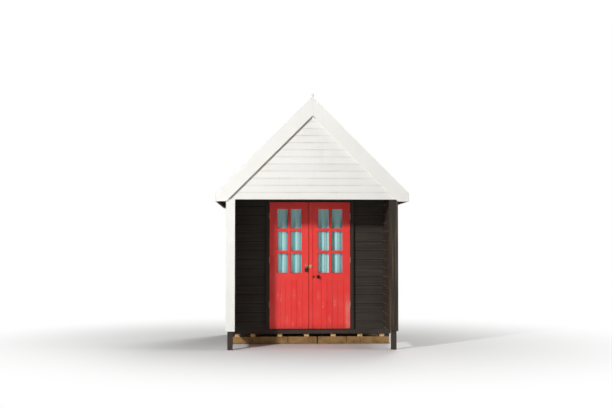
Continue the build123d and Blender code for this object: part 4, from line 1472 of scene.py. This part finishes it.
def ironmongery():
    """Hinges, hasp, staple, padlock, lock plates and knob."""
    metalwork("frame_hinges", "jamb_hinges", "hut", galvanised, hinge_arris)
    strip = from_node("meeting_strip", "cover_strip")
    ease(strip, worn_arris, 3)
    dress(strip, "right_door", (red["upright"],), ["meeting_strip"])
    metalwork("hasp", "hasp_plate", "right_door", brassy_zinc, 0.0006)
    metalwork("padlock_staple", "staple", "left_door", brassy_zinc, 0.0009, 3)
    metalwork("padlock", "lock_body", "left_door", iron, 0.0015, 3, 60)
    metalwork("lock_plates", "rose_and_key_plate", "right_door", iron, 0.0008, 3)
    knob()
    plate_screws()


def corners_of(low, high):
    """The four corners of an upright plate, a little way in, on its face."""
    return [
        (x, high.y - plate_thick, z)
        for x in (low.x + screw_inset, high.x - screw_inset)
        for z in (low.z + screw_inset, high.z - screw_inset)
    ]


def plate_screws():
    """Screws that hold the hasp, the staple's plate and the key plate."""
    low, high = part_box("hasp")
    leaf_part = Vector((high.x - hasp_knuckle, high.y, high.z))
    screws = slotted_screws("hasp_screws", corners_of(low, leaf_part), hasp_screw, 101)
    dress(screws, "right_door", (galvanised,))
    screws = slotted_screws("staple_screws", corners_of(*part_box("padlock_staple")), hasp_screw, 102)
    dress(screws, "left_door", (galvanised,))
    low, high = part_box("lock_plates")
    x, z = low.x + key_plate_width / 2, (low.z + high.z) / 2
    places = [(x, low.y, z + rise) for rise in (-key_screw_rise, key_screw_rise)]
    screws = slotted_screws("key_plate_screws", places, key_screw, 103)
    dress(screws, "right_door", (iron,))


def knob():
    """A round turned knob on a waisted neck."""
    low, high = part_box("door_knob")
    seat = ((low.x + high.x) / 2, high.y, (low.z + high.z) / 2)
    ball = (high.x - low.x) / 2
    rings = [(0, 0.006), (0.0032, 0.006), (0.0036, 0.0125), (0.007, 0.0125), (0.011, 0.010), (0.015, 0.0095)]
    rings += round_rings(ball, high.y - low.y - ball, 28, 178, 14)
    piece = ringed("turned_knob", seat, rings, (0, -1, 0), sides=36)
    smooth(piece)
    dress(piece, "knob", (iron,), ["door_knob"])


# Stage, lamps and camera
def seen_directly(tree):
    """1 for what the camera sees, directly or through glass."""
    path = add_node(tree, "ShaderNodeLightPath").outputs
    rays = {0: path["Is Camera Ray"], 1: path["Is Transmission Ray"]}
    return add_node(tree, "ShaderNodeMath", rays, operation="ADD", use_clamp=True).outputs[0]


def studio_floor():
    """A pale floor that fades to white away from the hut."""
    bpy.ops.object.select_all(action="DESELECT")
    bpy.ops.mesh.primitive_circle_add(
        vertices=96, radius=floor_radius, fill_type="NGON", location=(0, 0, -0.0005)
    )
    ground = bpy.context.object
    ground.name = "studio_floor"
    bpy.ops.object.transform_apply(location=True, rotation=True, scale=True)
    paint = bpy.data.materials.new("studio_floor")
    paint.use_nodes = True
    tree = paint.node_tree
    shader = tree.nodes["Principled BSDF"]
    shader.inputs["Base Color"].default_value = (0.90, 0.895, 0.885, 1)
    shader.inputs["Roughness"].default_value = 0.9
    place = add_node(tree, "ShaderNodeTexCoord").outputs["Object"]
    away = add_node(tree, "ShaderNodeVectorMath", {0: place}, operation="LENGTH").outputs["Value"]
    reach = {0: away, 1: fade_start, 2: fade_end}
    far = add_node(tree, "ShaderNodeMapRange", reach, interpolation_type="SMOOTHSTEP").outputs[0]
    faded = {0: far, 1: seen_directly(tree)}
    share = add_node(tree, "ShaderNodeMath", faded, operation="MULTIPLY").outputs[0]
    glow = add_node(tree, "ShaderNodeEmission").outputs[0]
    mixed = add_node(tree, "ShaderNodeMixShader", {0: share, 1: shader.outputs[0], 2: glow}).outputs[0]
    feed(tree, tree.nodes["Material Output"].inputs["Surface"], mixed)
    ground.data.materials.append(paint)


def stage():
    """The floor, a white background and soft lamps."""
    studio_floor()
    world = bpy.data.worlds.new("studio")
    bpy.context.scene.world = world
    world.use_nodes = True
    tree = world.node_tree
    ambient = tree.nodes["Background"]
    ambient.inputs["Color"].default_value = (1, 1, 1, 1)
    ambient.inputs["Strength"].default_value = 0.22
    backdrop = add_node(tree, "ShaderNodeBackground", {"Color": (1, 1, 1, 1)}).outputs[0]
    shaders = {0: seen_directly(tree), 1: ambient.outputs[0], 2: backdrop}
    mixed = add_node(tree, "ShaderNodeMixShader", shaders).outputs[0]
    feed(tree, tree.nodes["World Output"].inputs["Surface"], mixed)
    lamp("key", azimuth=-36.5, elevation=19.2, distance=14, level=0.635, size=1.0)
    lamp("back_fill", azimuth=158, elevation=40, distance=13, level=0.40, size=5)
    lamp("right_fill", azimuth=78, elevation=30, distance=13, level=0.22, size=5)
    bpy.context.scene.view_settings.view_transform = "Standard"


def lamp(name, azimuth, elevation, distance, level, size):
    """A round soft lamp aimed at the hut. Azimuth 0 is straight in front and is positive to the right."""
    side, up = radians(azimuth), radians(elevation)
    away = Vector((sin(side) * cos(up), -cos(side) * cos(up), sin(up)))
    light = bpy.data.lights.new(name, "AREA")
    light.shape = "DISK"
    light.size = size
    light.energy = level * pi * pi * distance * distance
    placed_lamp = bpy.data.objects.new(name, light)
    bpy.context.collection.objects.link(placed_lamp)
    placed_lamp.location = Vector(lamp_aim) + away * distance
    placed_lamp.rotation_euler = away.to_track_quat("Z", "Y").to_euler()
    placed_lamp.visible_camera = False


def camera():
    lens = bpy.data.cameras.new("camera")
    lens.sensor_width = 36
    lens.lens = 60.5
    lens.clip_end = 300
    view = bpy.data.objects.new("camera", lens)
    bpy.context.collection.objects.link(view)
    view.location = (-0.614, -15.96, 1.470)
    view.rotation_euler = (radians(92.34), 0, radians(-2.06))
    bpy.context.scene.camera = view


camera()
curtain("left", "left_door", 3)
curtain("right", "right_door", 8)
front_gable()
side_walls()
rear_wall()
porch_linings()
front_wall()
timbers()
apex_screws()
finial()
foundations()
joists()
floor()
roof()
leaf("left", "left_door")
leaf("right", "right_door")
ironmongery()
stage()
